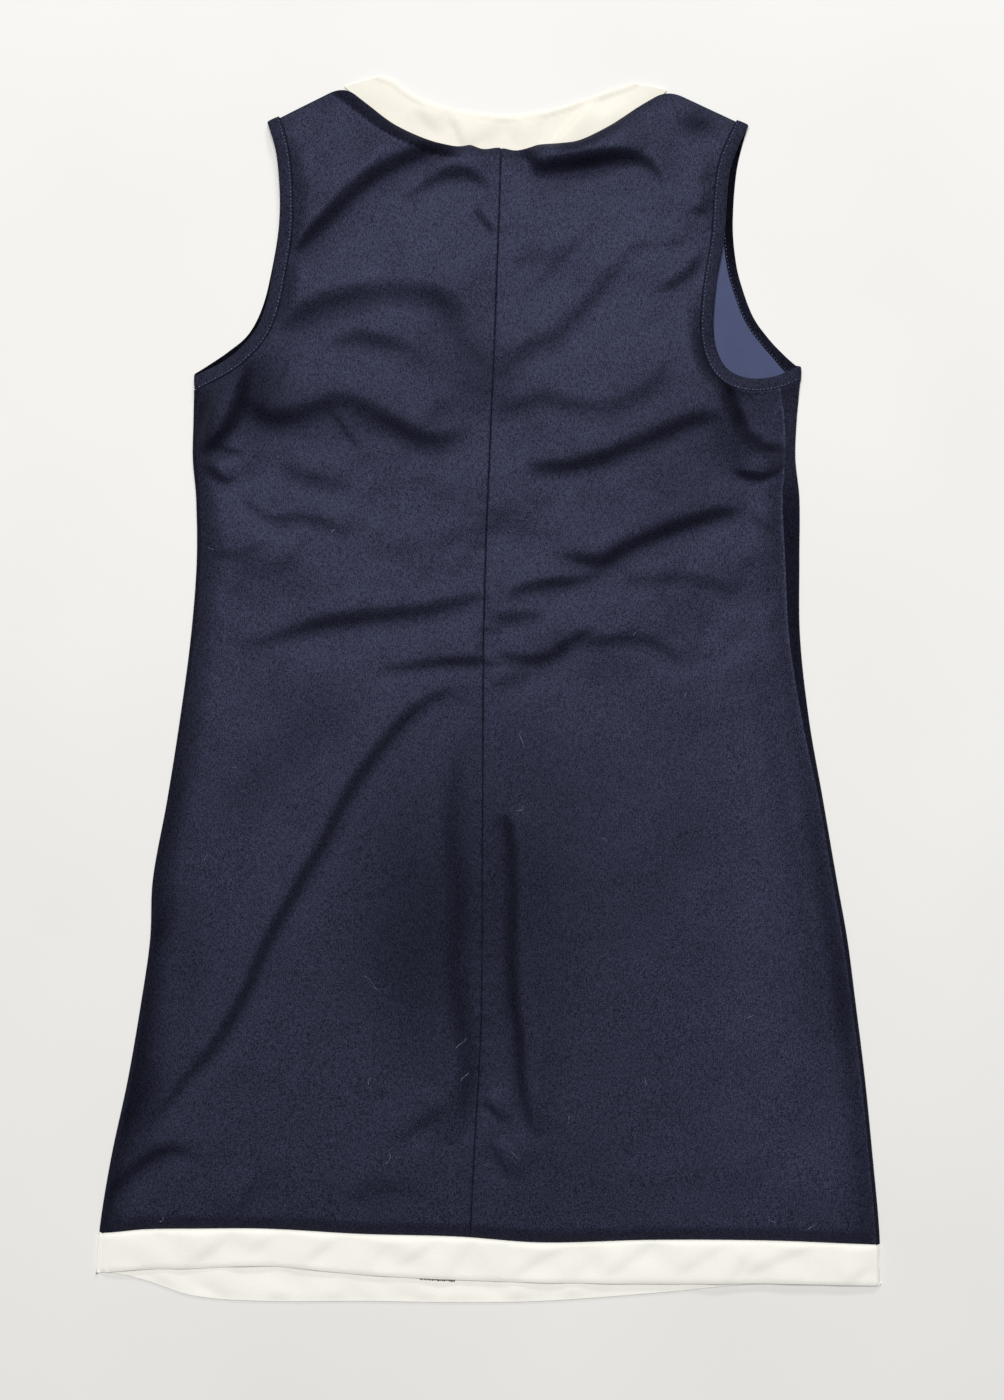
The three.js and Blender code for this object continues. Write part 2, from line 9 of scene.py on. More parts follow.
import logging
import math
from collections.abc import Callable, Iterable, Sequence
from dataclasses import dataclass, field
from enum import Enum
from typing import NamedTuple

import bpy
import numpy as np
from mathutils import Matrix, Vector
from mathutils.geometry import delaunay_2d_cdt
from mathutils.kdtree import KDTree


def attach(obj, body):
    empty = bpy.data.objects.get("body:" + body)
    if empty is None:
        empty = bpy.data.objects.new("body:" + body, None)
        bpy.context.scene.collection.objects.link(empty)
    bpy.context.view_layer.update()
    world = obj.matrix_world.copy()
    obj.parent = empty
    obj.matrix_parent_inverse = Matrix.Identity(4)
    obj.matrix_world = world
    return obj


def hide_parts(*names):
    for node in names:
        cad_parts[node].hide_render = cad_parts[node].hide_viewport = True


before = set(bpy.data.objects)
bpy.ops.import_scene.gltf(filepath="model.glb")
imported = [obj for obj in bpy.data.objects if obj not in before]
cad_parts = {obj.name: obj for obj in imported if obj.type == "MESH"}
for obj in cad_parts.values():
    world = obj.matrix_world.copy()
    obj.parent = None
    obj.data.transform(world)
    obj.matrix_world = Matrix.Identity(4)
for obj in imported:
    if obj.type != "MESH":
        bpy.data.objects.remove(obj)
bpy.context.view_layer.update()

LOG = logging.getLogger("dress")

Array = np.ndarray
Point = tuple[float, float]

MM = 0.001
CLOTH = 1.1  # wall of the double knit, and of the doubled trims
SEAM_GAP = 0.3  # between two pieces at a seam
SEAM_HALF = 0.12  # half the gap of the pressed centre back seam
BAND_WIDTH = 10.0  # of the armhole bands
HEM_BAND_DEPTH = 32.0
TURN_RADIUS = 1.8  # of the lower layer where it turns up at a side
LINE_STEP = 2.4  # between the points of an outline


# Tables of the cut


class SideRow(NamedTuple):
    """Silhouette of both sides at one height, and how far in each side seam lies on the upper layer."""

    y: float
    left: float
    right: float
    left_inset: float
    right_inset: float


class HemRow(NamedTuple):
    """Hem lines at one place across: the seam and edge of the upper band, and the edge of the lower."""

    x: float
    back_seam: float
    back_edge: float
    front_edge: float


class Layer(Enum):
    """The two layers of the dress as it lies."""

    BACK = "back"
    FRONT = "front"


class Side(Enum):
    """The two sides of the dress as it lies, with the sign of their x."""

    LEFT = -1
    RIGHT = 1

    @property
    def word(self) -> str:
        """Name of the side in lower case."""
        return self.name.lower()


SIDES = (
    SideRow(246, -224, 236.5, 3, 16),
    SideRow(228, -224.5, 236.5, 3, 15),
    SideRow(205, -225, 234.5, 3, 9.5),
    SideRow(176, -225.5, 233.5, 3, 8),
    SideRow(146, -223, 236.5, 3, 13),
    SideRow(98, -222.5, 236.5, 3, 11),
    SideRow(40, -227, 237, 3, 8.5),
    SideRow(-24, -235.5, 244, 3, 5.5),
    SideRow(-84, -245, 254.5, 3, 3.2),
    SideRow(-145, -256, 265, 3, 3.2),
    SideRow(-190, -258, 273, 3, 3.6),
    SideRow(-236, -264.5, 279, 3, 3),
    SideRow(-297, -275, 286.5, 3, 3),
    SideRow(-358, -288, 292.5, 3, 3),
    SideRow(-415, -297, 297.5, 3, 3),
    SideRow(-455, -299, 298, 3, 3),
)

# The free edge of each armhole, from the shoulder tip to the underarm.
ARMHOLES: dict[tuple[Side, Layer], tuple[Point, ...]] = {
    (Side.LEFT, Layer.BACK): (
        (-168, 430), (-161, 403), (-159, 356), (-165, 313), (-170, 290),
        (-178, 272), (-192, 257), (-207, 247), (-222, 239),
    ),
    (Side.LEFT, Layer.FRONT): (
        (-168, 430), (-160.5, 403), (-160, 356), (-167, 313), (-174, 288),
        (-184, 270), (-198, 258), (-211, 249), (-222, 242),
    ),
    (Side.RIGHT, Layer.BACK): (
        (197, 427.5), (183.5, 394), (179, 342), (173.5, 310), (171, 276),
        (175, 255), (184, 242), (199, 236.5), (217, 238), (234, 245),
    ),
    (Side.RIGHT, Layer.FRONT): (
        (197, 427.5), (189, 396), (186, 356), (188, 328), (192.5, 308),
        (201.5, 284), (214, 266.5), (226, 254), (234, 247),
    ),
}

NECK_POINT: dict[Side, Point] = {Side.LEFT: (-110, 459), Side.RIGHT: (136, 456)}
NECK_ROUNDING = 13.0  # length of each edge taken up by the rounded corner there
BACK_NECK: tuple[Point, ...] = (
    NECK_POINT[Side.LEFT], (-92, 445), (-72, 430), (-48, 418.5), (-30, 413.8), (-22, 413), (-14, 414),
    (-4, 411), (6, 412.2), (12, 411.5), (21, 410), (30, 412), (39, 414.5), (55, 415.5), (70, 418),
    (92, 429), (115, 444), NECK_POINT[Side.RIGHT],
)
FRONT_NECK: tuple[Point, ...] = (
    NECK_POINT[Side.LEFT], (-97, 447), (-79, 427), (-52, 412), (-22, 404.5), (15, 402),
    (46, 404.5), (77, 413), (103, 429), (123, 445), NECK_POINT[Side.RIGHT],
)
NECK_BAND_TOP: tuple[Point, ...] = (
    (-82, 467), (-73, 464), (-62, 455.5), (-49, 448.5), (-33, 443.5), (-10, 439),
    (15, 437), (37, 439.5), (56, 443.5), (74, 449.5), (93, 456.5), (109, 462),
)
CENTRE_BACK: tuple[Point, ...] = (
    (10, 430), (7.5, 353), (4.5, 270), (1, 187), (-3.5, 62), (-5, -130),
    (-6, -254), (-11, -350), (-15, -430),
)
HEM = (
    HemRow(-300, -414.5, -445, -444.5),
    HemRow(-290, -413.5, -443.6, -444),
    HemRow(-262, -410.5, -441, -450),
    HemRow(-225, -410, -440.5, -462),
    HemRow(-170, -410, -438.5, -466),
    HemRow(-97, -414, -445, -466),
    HemRow(-24, -416, -449, -467),
    HemRow(40, -420.5, -451, -466),
    HemRow(125, -418.5, -452, -460),
    HemRow(212, -419, -452, -452.5),
    HemRow(290, -422, -453.6, -454),
    HemRow(300, -422, -454, -454.5),
)


# Curves and tables


def eased(places: Sequence[float], values: Sequence[float], at: Array) -> Array:
    """Reads a table's column between its rows, eased so that it has no kinks.

    Args:
        places: The rows' places, rising or falling.
        values: The column's values.
        at: Places to read.

    Returns:
        The values there.
    """
    order = np.argsort(places)
    xs, vs = np.asarray(places, float)[order], np.asarray(values, float)[order]
    i = np.clip(np.searchsorted(xs, at) - 1, 0, len(xs) - 2)
    before, after = np.clip(i - 1, 0, None), np.clip(i + 2, None, len(xs) - 1)
    run = xs[i + 1] - xs[i]
    t = np.clip((at - xs[i]) / run, 0, 1)
    s = 1 - t
    slope_in = (vs[i + 1] - vs[before]) / (xs[i + 1] - xs[before])
    slope_out = (vs[after] - vs[i]) / (xs[after] - xs[i])
    value = s * s * (1 + 2 * t) * vs[i] + t * t * (1 + 2 * s) * vs[i + 1]
    return value + s * s * t * run * slope_in - t * t * s * run * slope_out


def side_at(y: Array, name: str) -> Array:
    """Reads one column of the sides' table at heights y."""
    return eased([row.y for row in SIDES], [getattr(row, name) for row in SIDES], y)


def hem_at(x: Array, name: str) -> Array:
    """Reads one column of the hem's table at places x."""
    return eased([row.x for row in HEM], [getattr(row, name) for row in HEM], x)


def centre_back(y: Array) -> Array:
    """Reads the x of the centre back seam at heights y."""
    return eased([row[1] for row in CENTRE_BACK], [row[0] for row in CENTRE_BACK], y)


def respaced(line: Array, step: float) -> Array:
    """Spaces the points of a line evenly, about a step apart.

    Args:
        line: Points of two or three coordinates, a row each.
        step: Wanted distance.

    Returns:
        Points from the first to the last one.
    """
    gaps = np.linalg.norm(np.diff(line, axis=0), axis=1)
    along = np.concatenate([[0], np.cumsum(gaps)])
    places = np.linspace(0, along[-1], max(2, round(along[-1] / step) + 1))
    return np.stack([np.interp(places, along, line[:, k]) for k in range(line.shape[1])], axis=1)


def smooth_line(points: Sequence[Sequence[float]], step: float = LINE_STEP) -> Array:
    """Draws a smooth line through a table's points.

    Args:
        points: Rows of any number of columns; the first two are x and y.
        step: Distance between the line's points.

    Returns:
        The line's points, with all columns.
    """
    p = np.asarray(points, float)
    padded = np.vstack([p[:1], p, p[-1:]])
    t = np.linspace(0, 1, 16, endpoint=False)[:, None]
    parts = []
    for p0, p1, p2, p3 in zip(padded, padded[1:], padded[2:], padded[3:]):
        v1, v2 = (p2 - p0) / 2, (p3 - p1) / 2
        parts.append((2 * (p1 - p2) + v1 + v2) * t**3 + (3 * (p2 - p1) - 2 * v1 - v2) * t**2 + v1 * t + p1)
    dense = np.vstack([*parts, p[-1:]])
    gaps = np.linalg.norm(np.diff(dense[:, :2], axis=0), axis=1)
    along = np.concatenate([[0], np.cumsum(gaps)])
    places = np.linspace(0, along[-1], max(2, round(along[-1] / step) + 1))
    return np.stack([np.interp(places, along, dense[:, k]) for k in range(dense.shape[1])], axis=1)


def to_line(line: Array, at: Array) -> tuple[Array, Array, Array]:
    """Measures points against a line.

    Args:
        line: The line's points, with x and y first.
        at: Points in x and y.

    Returns:
        The distance to the line, positive to its left hand, the index of the nearest stretch, and the
        share along that stretch.
    """
    best = np.full(len(at), np.inf)
    sign, index, share = np.ones(len(at)), np.zeros(len(at), int), np.zeros(len(at))
    for i, (a, b) in enumerate(zip(line[:-1, :2], line[1:, :2])):
        d = b - a
        rel = at - a
        t = np.clip((rel @ d) / (d @ d), 0, 1)
        off = rel - t[:, None] * d
        dist = np.hypot(off[:, 0], off[:, 1])
        near = dist < best
        cross = d[0] * rel[:, 1] - d[1] * rel[:, 0]
        best = np.where(near, dist, best)
        sign = np.where(near, np.where(cross < 0, -1.0, 1.0), sign)
        index, share = np.where(near, i, index), np.where(near, t, share)
    return best * sign, index, share


def distance(line: Array, at: Array) -> Array:
    """Distance of points from a line."""
    return np.abs(to_line(line, at)[0])


def smoothstep(t: Array) -> Array:
    """Eases a share from 0 to 1."""
    t = np.clip(t, 0, 1)
    return t * t * (3 - 2 * t)


def wander(at: Array, size: float, seed: int, waves: int = 9) -> Array:
    """Makes a smooth uneven pattern of about unit height.

    Args:
        at: Points in x and y.
        size: Typical length of a wave.
        seed: Picks the pattern.
        waves: How many plane waves are summed.

    Returns:
        The pattern's height at each point.
    """
    draw = np.random.default_rng(seed)
    total = np.zeros(len(at))
    for _ in range(waves):
        angle, phase = draw.uniform(0, 2 * math.pi, 2)
        pitch = size * draw.uniform(0.7, 1.6)
        along = at[:, 0] * math.cos(angle) + at[:, 1] * math.sin(angle)
        total += np.sin(2 * math.pi * along / pitch + phase)
    return total / math.sqrt(waves / 2)


def subdivided(outline: Array, longest: float) -> Array:
    """Adds points to a closed outline wherever two of them are further apart than a distance."""
    rows = []
    for a, b in zip(outline, np.roll(outline, -1, axis=0)):
        steps = max(1, math.ceil(float(np.linalg.norm(b - a)) / longest))
        rows.append(a + (b - a) * np.linspace(0, 1, steps, endpoint=False)[:, None])
    return np.vstack(rows)


def joined(first: Array, second: Array, reach: float) -> Array:
    """Joins two lines that meet in a corner, and rounds the corner.

    Args:
        first: Points that end in the corner.
        second: Points that start in it.
        reach: Length of each line that the rounding takes up.

    Returns:
        The points of both.
    """
    corner = second[0]
    before = first[np.linalg.norm(first - corner, axis=1) > reach]
    after = second[np.linalg.norm(second - corner, axis=1) > reach]
    start, end = (
        corner + (line - corner) * reach / np.linalg.norm(line - corner) for line in (before[-1], after[0])
    )
    t = np.linspace(0, 1, 12)[:, None]
    return np.vstack([before, start * (1 - t) ** 2 + corner * 2 * t * (1 - t) + end * t * t, after])


# The folds of the cloth


class Crease(NamedTuple):
    """A soft fold: a ridge to the left hand of its line and a trough to its right hand.

    The line's points hold x, y and the fold's strength there. The flank between ridge and trough lies
    on the line.
    """

    name: str
    height: float
    width: float
    points: tuple[tuple[float, float, float], ...]
    trough: float = 0.6
    tail: float = 1.9


PANEL_CREASES = (
    Crease("left shoulder arc", 4.4, 7, (
        (-152, 326, 0), (-142, 336, 0.5), (-128, 351, 0.8), (-106, 374, 1), (-87, 390, 1.05), (-66, 401, 1),
        (-48, 408, 0.9), (-34, 411, 0.5), (-22, 409, 0))),
    Crease("left shoulder prong", 2.4, 4, (
        (-153, 328, 0), (-146, 335, 1), (-135, 346, 0.8), (-122, 360, 0.4), (-110, 373, 0))),
    Crease("left nape", 2.5, 6, (
        (-76, 367, 0), (-62, 374, 0.4), (-43, 386, 0.8), (-28, 391.5, 1), (-16, 391, 0.9), (-4, 384, 0.5),
        (1, 376, 0.2))),
    Crease("left blade upper", 3.2, 10, (
        (-164, 274, 0), (-150, 280, 0.7), (-128, 291, 0.9), (-102, 299, 1), (-71, 303, 0.9), (-48, 300, 0.7),
        (-30, 293, 0.5), (-14, 282, 0))),
    Crease("left blade lower", 1.5, 7, (
        (-128, 258, 0), (-118, 262, 0.6), (-98, 267, 1), (-77, 263, 0.9), (-56, 257, 0.4), (-46, 254, 0))),
    Crease("left chest", 3.6, 8, (
        (-184, 224, 0), (-177, 214, 0.8), (-166, 207, 1), (-150, 207, 1), (-134, 212, 0.7), (-112, 219, 0.6),
        (-92, 212, 0.7), (-74, 202, 0.9), (-55, 192, 1), (-38, 189, 0.8), (-20, 193, 0.3), (-8, 196, 0))),
    Crease("left underarm", 4.6, 5, (
        (-219, 182, 0), (-212, 185, 0.8), (-202, 193, 1), (-194, 205, 1), (-188, 222, 1), (-186, 236, 0.9),
        (-183, 246, 0.4))),
    Crease("left underarm corner", 3.2, 5, (
        (-210, 226, 0), (-214, 214, 0.8), (-219, 204, 1), (-224, 194, 0.8), (-227, 184, 0))),
    Crease("left side nick", 2.4, 3.6, (
        (-218, 174, 0), (-212, 167, 1), (-203, 160, 0.9), (-195, 155, 0))),
    Crease("left side nick upper", 1.5, 3.6, (
        (-207, 186, 0), (-200, 181, 1), (-191, 180, 0.5), (-184, 182, 0))),
    Crease("left midriff faint", 1.1, 7, (
        (-160, 168, 0), (-146, 163, 1), (-124, 157, 1), (-100, 153, 0))),
    Crease("left midriff line", 1.0, 3, (
        (-124, 216, 0), (-114, 204, 1), (-104, 190, 0.8), (-96, 180, 0))),
    Crease("left midriff", 1.3, 5.5, (
        (-190, 148, 0), (-182, 139, 0.7), (-170, 131, 1), (-155, 129, 1), (-140, 130, 0.8), (-120, 124, 0.5),
        (-104, 114, 0))),
    Crease("left waist faint", 1.0, 6, (
        (-220, 106, 0), (-206, 102, 0.7), (-192, 101, 1), (-176, 108, 0.8), (-162, 117, 0))),
    Crease("left waist", 2.7, 6.5, (
        (-194, 32, 0), (-174, 36, 0.35), (-152, 42, 0.7), (-125, 50, 1), (-94, 54.5, 1), (-60, 58, 0.95),
        (-34, 62.5, 0.7), (-14, 68, 0.4), (-6, 70, 0))),
    Crease("left hip", 1.7, 4.8, (
        (-84, 14, 0), (-68, 16, 0.4), (-44, 19.5, 0.8), (-22, 21, 1), (-10, 20.5, 0.9), (-4, 20, 0.3))),
    Crease("left of seam upper", 0.9, 9, (
        (-58, 316, 0), (-40, 300, 0.8), (-24, 276, 1), (-10, 252, 0.6), (-4, 240, 0))),
    Crease("left of seam tuck", 1.8, 4, (
        (-12, 366, 0), (-7, 360, 1), (0, 350, 0.9), (4, 342, 0))),
    Crease("left of seam lower", 0.8, 8, (
        (-54, 190, 0), (-44, 206, 0.7), (-26, 216, 1), (-10, 212, 0.6), (-2, 210, 0))),
    Crease("right nape", 6.4, 5.2, (
        (28, 395, 0), (38, 395.5, 0.5), (52, 397.5, 0.95), (76, 401, 1.1), (98, 404, 0.9), (114, 402, 0.5),
        (125, 394, 0.3), (134, 380, 0))),
    Crease("right nape tuck", 2.0, 4, (
        (22, 414, 0), (28, 408, 1), (36, 399, 1), (42, 392, 0))),
    Crease("right blade", 1.8, 8, (
        (4, 236, 0), (12, 244, 0.6), (31, 260, 0.9), (50, 268, 1), (69, 286, 0.8), (82, 301, 0.7),
        (96, 320, 0.6), (110, 334, 0))),
    Crease("right armhole tuck", 2.0, 5.5, (
        (120, 298, 0), (133, 304, 0.6), (149, 313, 1), (162, 325, 0.9), (170, 332, 0.3))),
    Crease("right armhole nick", 1.4, 4, (
        (148, 362, 0), (157, 362, 0.8), (165, 364, 1), (174, 368, 0))),
    Crease("right armhole nick upper", 1.0, 5, (
        (150, 388, 0), (158, 386, 1), (168, 388, 0.8), (178, 392, 0))),
    Crease("right armhole nick lower", 0.8, 5, (
        (96, 336, 0), (116, 336, 1), (140, 338, 0.8), (160, 344, 0))),
    Crease("right blade faint", 0.8, 7, (
        (28, 300, 0), (46, 314, 0.8), (66, 336, 1), (88, 356, 0.8), (108, 366, 0))),
    Crease("right chest", 1.5, 7.5, (
        (6, 210, 0), (22, 215, 0.6), (41, 221, 1), (66, 215, 0.9), (92, 214, 0.8), (115, 223, 0.8),
        (130, 238, 0.7), (138, 250, 0))),
    Crease("right bust", 3.4, 6.5, (
        (28, 168, 0), (44, 168, 0.6), (62, 169, 0.8), (88, 176, 1), (111, 186, 1), (134, 195.5, 1),
        (156, 204.5, 0.9), (170, 206, 0.5), (182, 204, 0))),
    Crease("right midriff", 3.9, 6, (
        (44, 103, 0), (60, 100, 0.3), (76, 97.5, 0.75), (88, 98, 1), (102, 105.5, 0.95), (124, 116.5, 1),
        (147, 125, 1), (166, 131, 1), (182, 134.5, 0.7), (196, 135, 0))),
    Crease("right waist upper", 2.4, 5.6, (
        (10, 68, 0), (24, 75, 0.7), (42, 79.5, 1), (60, 81.5, 0.9), (82, 86, 0.4), (96, 91, 0))),
    Crease("right waist faint", 1.0, 6, (
        (100, 82, 0), (117, 82, 0.8), (148, 83.5, 1), (174, 78, 0.9), (188, 72, 0))),
    Crease("right waist seam nick", 1.0, 5, (
        (2, 52, 0), (14, 54, 1), (30, 56, 0.8), (46, 55, 0))),
    Crease("right waist", 2.3, 5.4, (
        (6, 29, 0), (20, 23, 0.6), (34, 22, 1), (46, 24.5, 1), (58, 33, 0.9), (72, 42, 0.6), (82, 48, 0))),
    Crease("right waist lower", 1.5, 6, (
        (66, 37, 0), (82, 36, 0.8), (102, 38.5, 1), (122, 36, 0.9), (138, 27, 0.7), (154, 17, 0))),
    Crease("right hip faint", 0.8, 6, (
        (0, 2, 0), (12, 6, 0.8), (26, 10, 1), (42, 11, 0))),
    Crease("right underarm", 3.8, 4.2, (
        (230, 186, 0.2), (222, 183, 0.6), (211, 183, 0.8), (202, 187, 0.9), (195, 193, 1), (190, 202, 1),
        (186, 213, 1), (181, 228, 1.1), (174, 243, 1.1), (167, 254, 1), (161, 266, 0.6), (157, 276, 0)), 1.5),
    Crease("right side tuck", 2.8, 2.6, (
        (186, 167, 0), (193, 163, 0.9), (205, 160.5, 1), (215, 164, 1), (224, 170, 0.8), (231, 174, 0))),
    Crease("right side nick", 1.2, 5, (
        (194, 137, 0), (202, 130, 0.8), (212, 122, 1), (222, 117, 0))),
    Crease("skirt drape", 2.8, 5.6, (
        (-268, -340, 0), (-250, -320, 0.3), (-227, -293, 0.6), (-204.5, -266, 0.85), (-185, -232, 1),
        (-166.5, -190, 1), (-145.5, -152, 1), (-126, -118, 0.95), (-105.5, -78, 0.95), (-83, -46, 0.9),
        (-60, -19.5, 0.75), (-38, -5, 0.4), (-26, 0, 0))),
    Crease("left of seam fold", 3.1, 8.5, (
        (-20, -345, 0), (-20, -318, 0.7), (-17, -288, 1), (-24, -246, 0.9), (-27, -205, 0.8),
        (-25, -160, 0.8),
        (-29, -118, 0.7), (-27, -70, 0.4), (-24, -30, 0))),
    Crease("right of seam fold", 3.6, 5.2, (
        (10, -94, 0), (15, -104, 0.8), (18, -130, 0.8), (18.5, -171, 0.8), (18, -205, 0.9), (19.5, -237, 1),
        (23, -266, 1), (25.5, -304, 0.8), (30, -325, 0.5), (34, -340, 0))),
    Crease("right of seam nick", 1.1, 3.6, (
        (-6, -309, 0), (-1, -315, 1), (6, -322, 1), (13, -330, 0))),
    Crease("right of seam nick lower", 1.2, 4.2, (
        (2, -342, 0), (6, -352, 1), (11, -363, 1), (18, -374, 0))),
    Crease("left hem corner", 2.8, 6, (
        (-300, -388, 0.3), (-290, -380, 0.8), (-275, -368, 1), (-258, -355.5, 1), (-243, -349.5, 0.8),
        (-230, -351, 0.3), (-218, -358, 0))),
    Crease("left hem corner upper", 1.3, 8, (
        (-292, -345, 0), (-282, -332, 0.9), (-268, -312, 1), (-256, -296, 0.6), (-246, -282, 0))),
    Crease("left hem nick", 0.9, 5, (
        (-192, -402, 0), (-187, -392, 1), (-180, -379, 0.9), (-174, -366, 0))),
    Crease("hem by seam", 0.9, 6, (
        (-72, -348, 0), (-58, -335, 1), (-40, -322, 1), (-28, -312, 0))),
    Crease("hem left pull", 0.8, 10, (
        (-116, -396, 0), (-98, -384, 0.8), (-72, -378, 1), (-44, -386, 0))),
    Crease("left hip edge", 1.6, 8, (
        (-262, -196, 0), (-252, -184, 1), (-246, -168, 1), (-246, -148, 0))),
    Crease("right hip slope", 1.2, 12, (
        (262, -330, 0), (252, -280, 0.8), (246, -215, 1), (232, -140, 0.9), (218, -60, 0.8), (206, 10, 0.5),
        (198, 60, 0))),
    Crease("right hem pull", 0.4, 12, (
        (60, -396, 0), (110, -380, 0.8), (170, -372, 1), (220, -380, 0))),
    Crease("right hip broad", 0.5, 22, (
        (60, -210, 0), (100, -160, 0.8), (150, -110, 1), (190, -70, 0))),
    Crease("left hip broad", 0.8, 20, (
        (-200, -120, 0), (-180, -70, 0.8), (-140, -30, 1), (-100, -6, 0))),
)


def crease_profile(s: Array, tail: float) -> Array:
    """Shapes one half of a fold: up its flank to 1 at s = 1, then slowly down again."""
    flank = s * np.exp((1 - s * s) / 2)
    return np.where(s < 1, flank, np.exp(-((s - 1) ** 2) / (2 * tail * tail)))


def creases_rise(creases: Iterable[Crease], at: Array, gain: float = 1.0, spread: float = 1.0) -> Array:
    """Sums the height that folds add.

    Args:
        creases: The folds.
        at: Points in x and y.
        gain: Times their heights.
        spread: Times their widths.

    Returns:
        The height at each point.
    """
    total = np.zeros(len(at))
    for crease in creases:
        line = smooth_line(crease.points, 3.0)
        reach = crease.width * spread * (1 + 3 * crease.tail)
        low, high = line[:, :2].min(axis=0) - reach, line[:, :2].max(axis=0) + reach
        near = np.flatnonzero(((at > low) & (at < high)).all(axis=1))
        if not len(near):
            continue
        signed, i, t = to_line(line, at[near])
        strength = np.clip(line[i, 2] * (1 - t) + line[i + 1, 2] * t, 0, 1.1)
        s = signed / (crease.width * spread * (0.72 + 0.28 * strength))
        ridge = crease_profile(np.maximum(s, 0), crease.tail)
        trough = crease.trough * crease_profile(np.maximum(-s, 0) / crease.trough, crease.tail)
        total[near] += gain * crease.height * strength * (ridge - trough)
    return total


def creases_depth(creases: Iterable[Crease], at: Array, spread: float) -> Array:
    """How deep in the flank of a fold points lie.

    Args:
        creases: The folds.
        at: Points in x and y.
        spread: Times their widths.

    Returns:
        About 1 in the flank of a strong fold, and 0 away from folds.
    """
    total = np.zeros(len(at))
    for crease in creases:
        line = smooth_line(crease.points, 3.0)
        reach = crease.width * spread * 2.2
        low, high = line[:, :2].min(axis=0) - reach, line[:, :2].max(axis=0) + reach
        near = np.flatnonzero(((at > low) & (at < high)).all(axis=1))
        if len(near):
            signed, i, t = to_line(line, at[near])
            strength = np.clip(line[i, 2] * (1 - t) + line[i + 1, 2] * t, 0, 1.1)
            s = signed / (crease.width * spread) + 0.25
            total[near] += crease.height * strength / 5 * np.exp(-1.6 * s * s)
    return total


# Share of its width that the lower half of an armhole's band loses, where it stands up from the surface.
LOWER_TILT = {Side.LEFT: 0.0, Side.RIGHT: 0.26}


class ArmholeLine:
    """One armhole on one layer: its free edge, and the way across the band to the seam.

    Near the shoulder and the underarm the way across swings to lie along those edges.
    """

    SWING = 18.0  # length over which it swings

    def __init__(self, side: Side, layer: Layer) -> None:
        """Lays the armhole's lines out.

        Args:
            side: Side of the dress.
            layer: Layer of the dress.
        """
        rows = ARMHOLES[side, layer]
        self.at = smooth_line(rows)
        along = np.gradient(self.at, axis=0)
        along /= np.linalg.norm(along, axis=1)[:, None]
        square = np.stack([along[:, 1], -along[:, 0]], axis=1) * side.value
        shoulder = np.subtract(NECK_POINT[side], rows[0])
        shoulder = shoulder / np.linalg.norm(shoulder)
        run = np.concatenate([[0], np.cumsum(np.linalg.norm(np.diff(self.at, axis=0), axis=1))])
        to_shoulder = np.clip(1 - run / self.SWING, 0, 1)[:, None]
        to_underarm = np.clip(1 - (run[-1] - run) / self.SWING, 0, 1)[:, None]
        across = square * (1 - to_shoulder - to_underarm)
        across = across + shoulder * to_shoulder + np.array([0, -1.0]) * to_underarm
        tilt = LOWER_TILT[side] * (1 - to_shoulder - to_underarm) if layer is Layer.FRONT else 0.0
        width = BAND_WIDTH * (1 - tilt)
        self.across = across * width / (across * square).sum(axis=1)[:, None]
        self.along = run

    @property
    def seam(self) -> Array:
        """Edge of the panel along the band, from shoulder to underarm."""
        return self.at + self.across * (1 + SEAM_GAP / BAND_WIDTH)


ARMHOLE_LINES = {key: ArmholeLine(*key) for key in ARMHOLES}


class EdgeShape(Enum):
    """How the upper layer comes down to an edge."""

    ROLL = "round and steep at the edge"
    SLOPE = "an even slope that eases into the panel"
    RAMP = "steepest at the edge and level at its reach"

    def share(self, t: Array) -> Array:
        """Share of the rise reached at t, from 0 at the edge to 1 at its reach."""
        t = np.clip(t, 0, 1)
        if self is EdgeShape.ROLL:
            return np.sqrt(1 - (1 - t) ** 2)
        if self is EdgeShape.RAMP:
            return 1 - (1 - t) ** 2
        return np.sin(t * math.pi / 2)


class Patch(NamedTuple):
    """A soft round area: its middle, half width, half height and amount."""

    x: float
    y: float
    wide: float
    high: float
    amount: float


def patches_at(patches: Sequence[Patch], at: Array) -> Array:
    """Sums soft patches at points in x and y."""
    total = np.zeros(len(at))
    for patch in patches:
        s = ((at[:, 0] - patch.x) / patch.wide) ** 2 + ((at[:, 1] - patch.y) / patch.high) ** 2
        total += patch.amount * np.exp(-s)
    return total


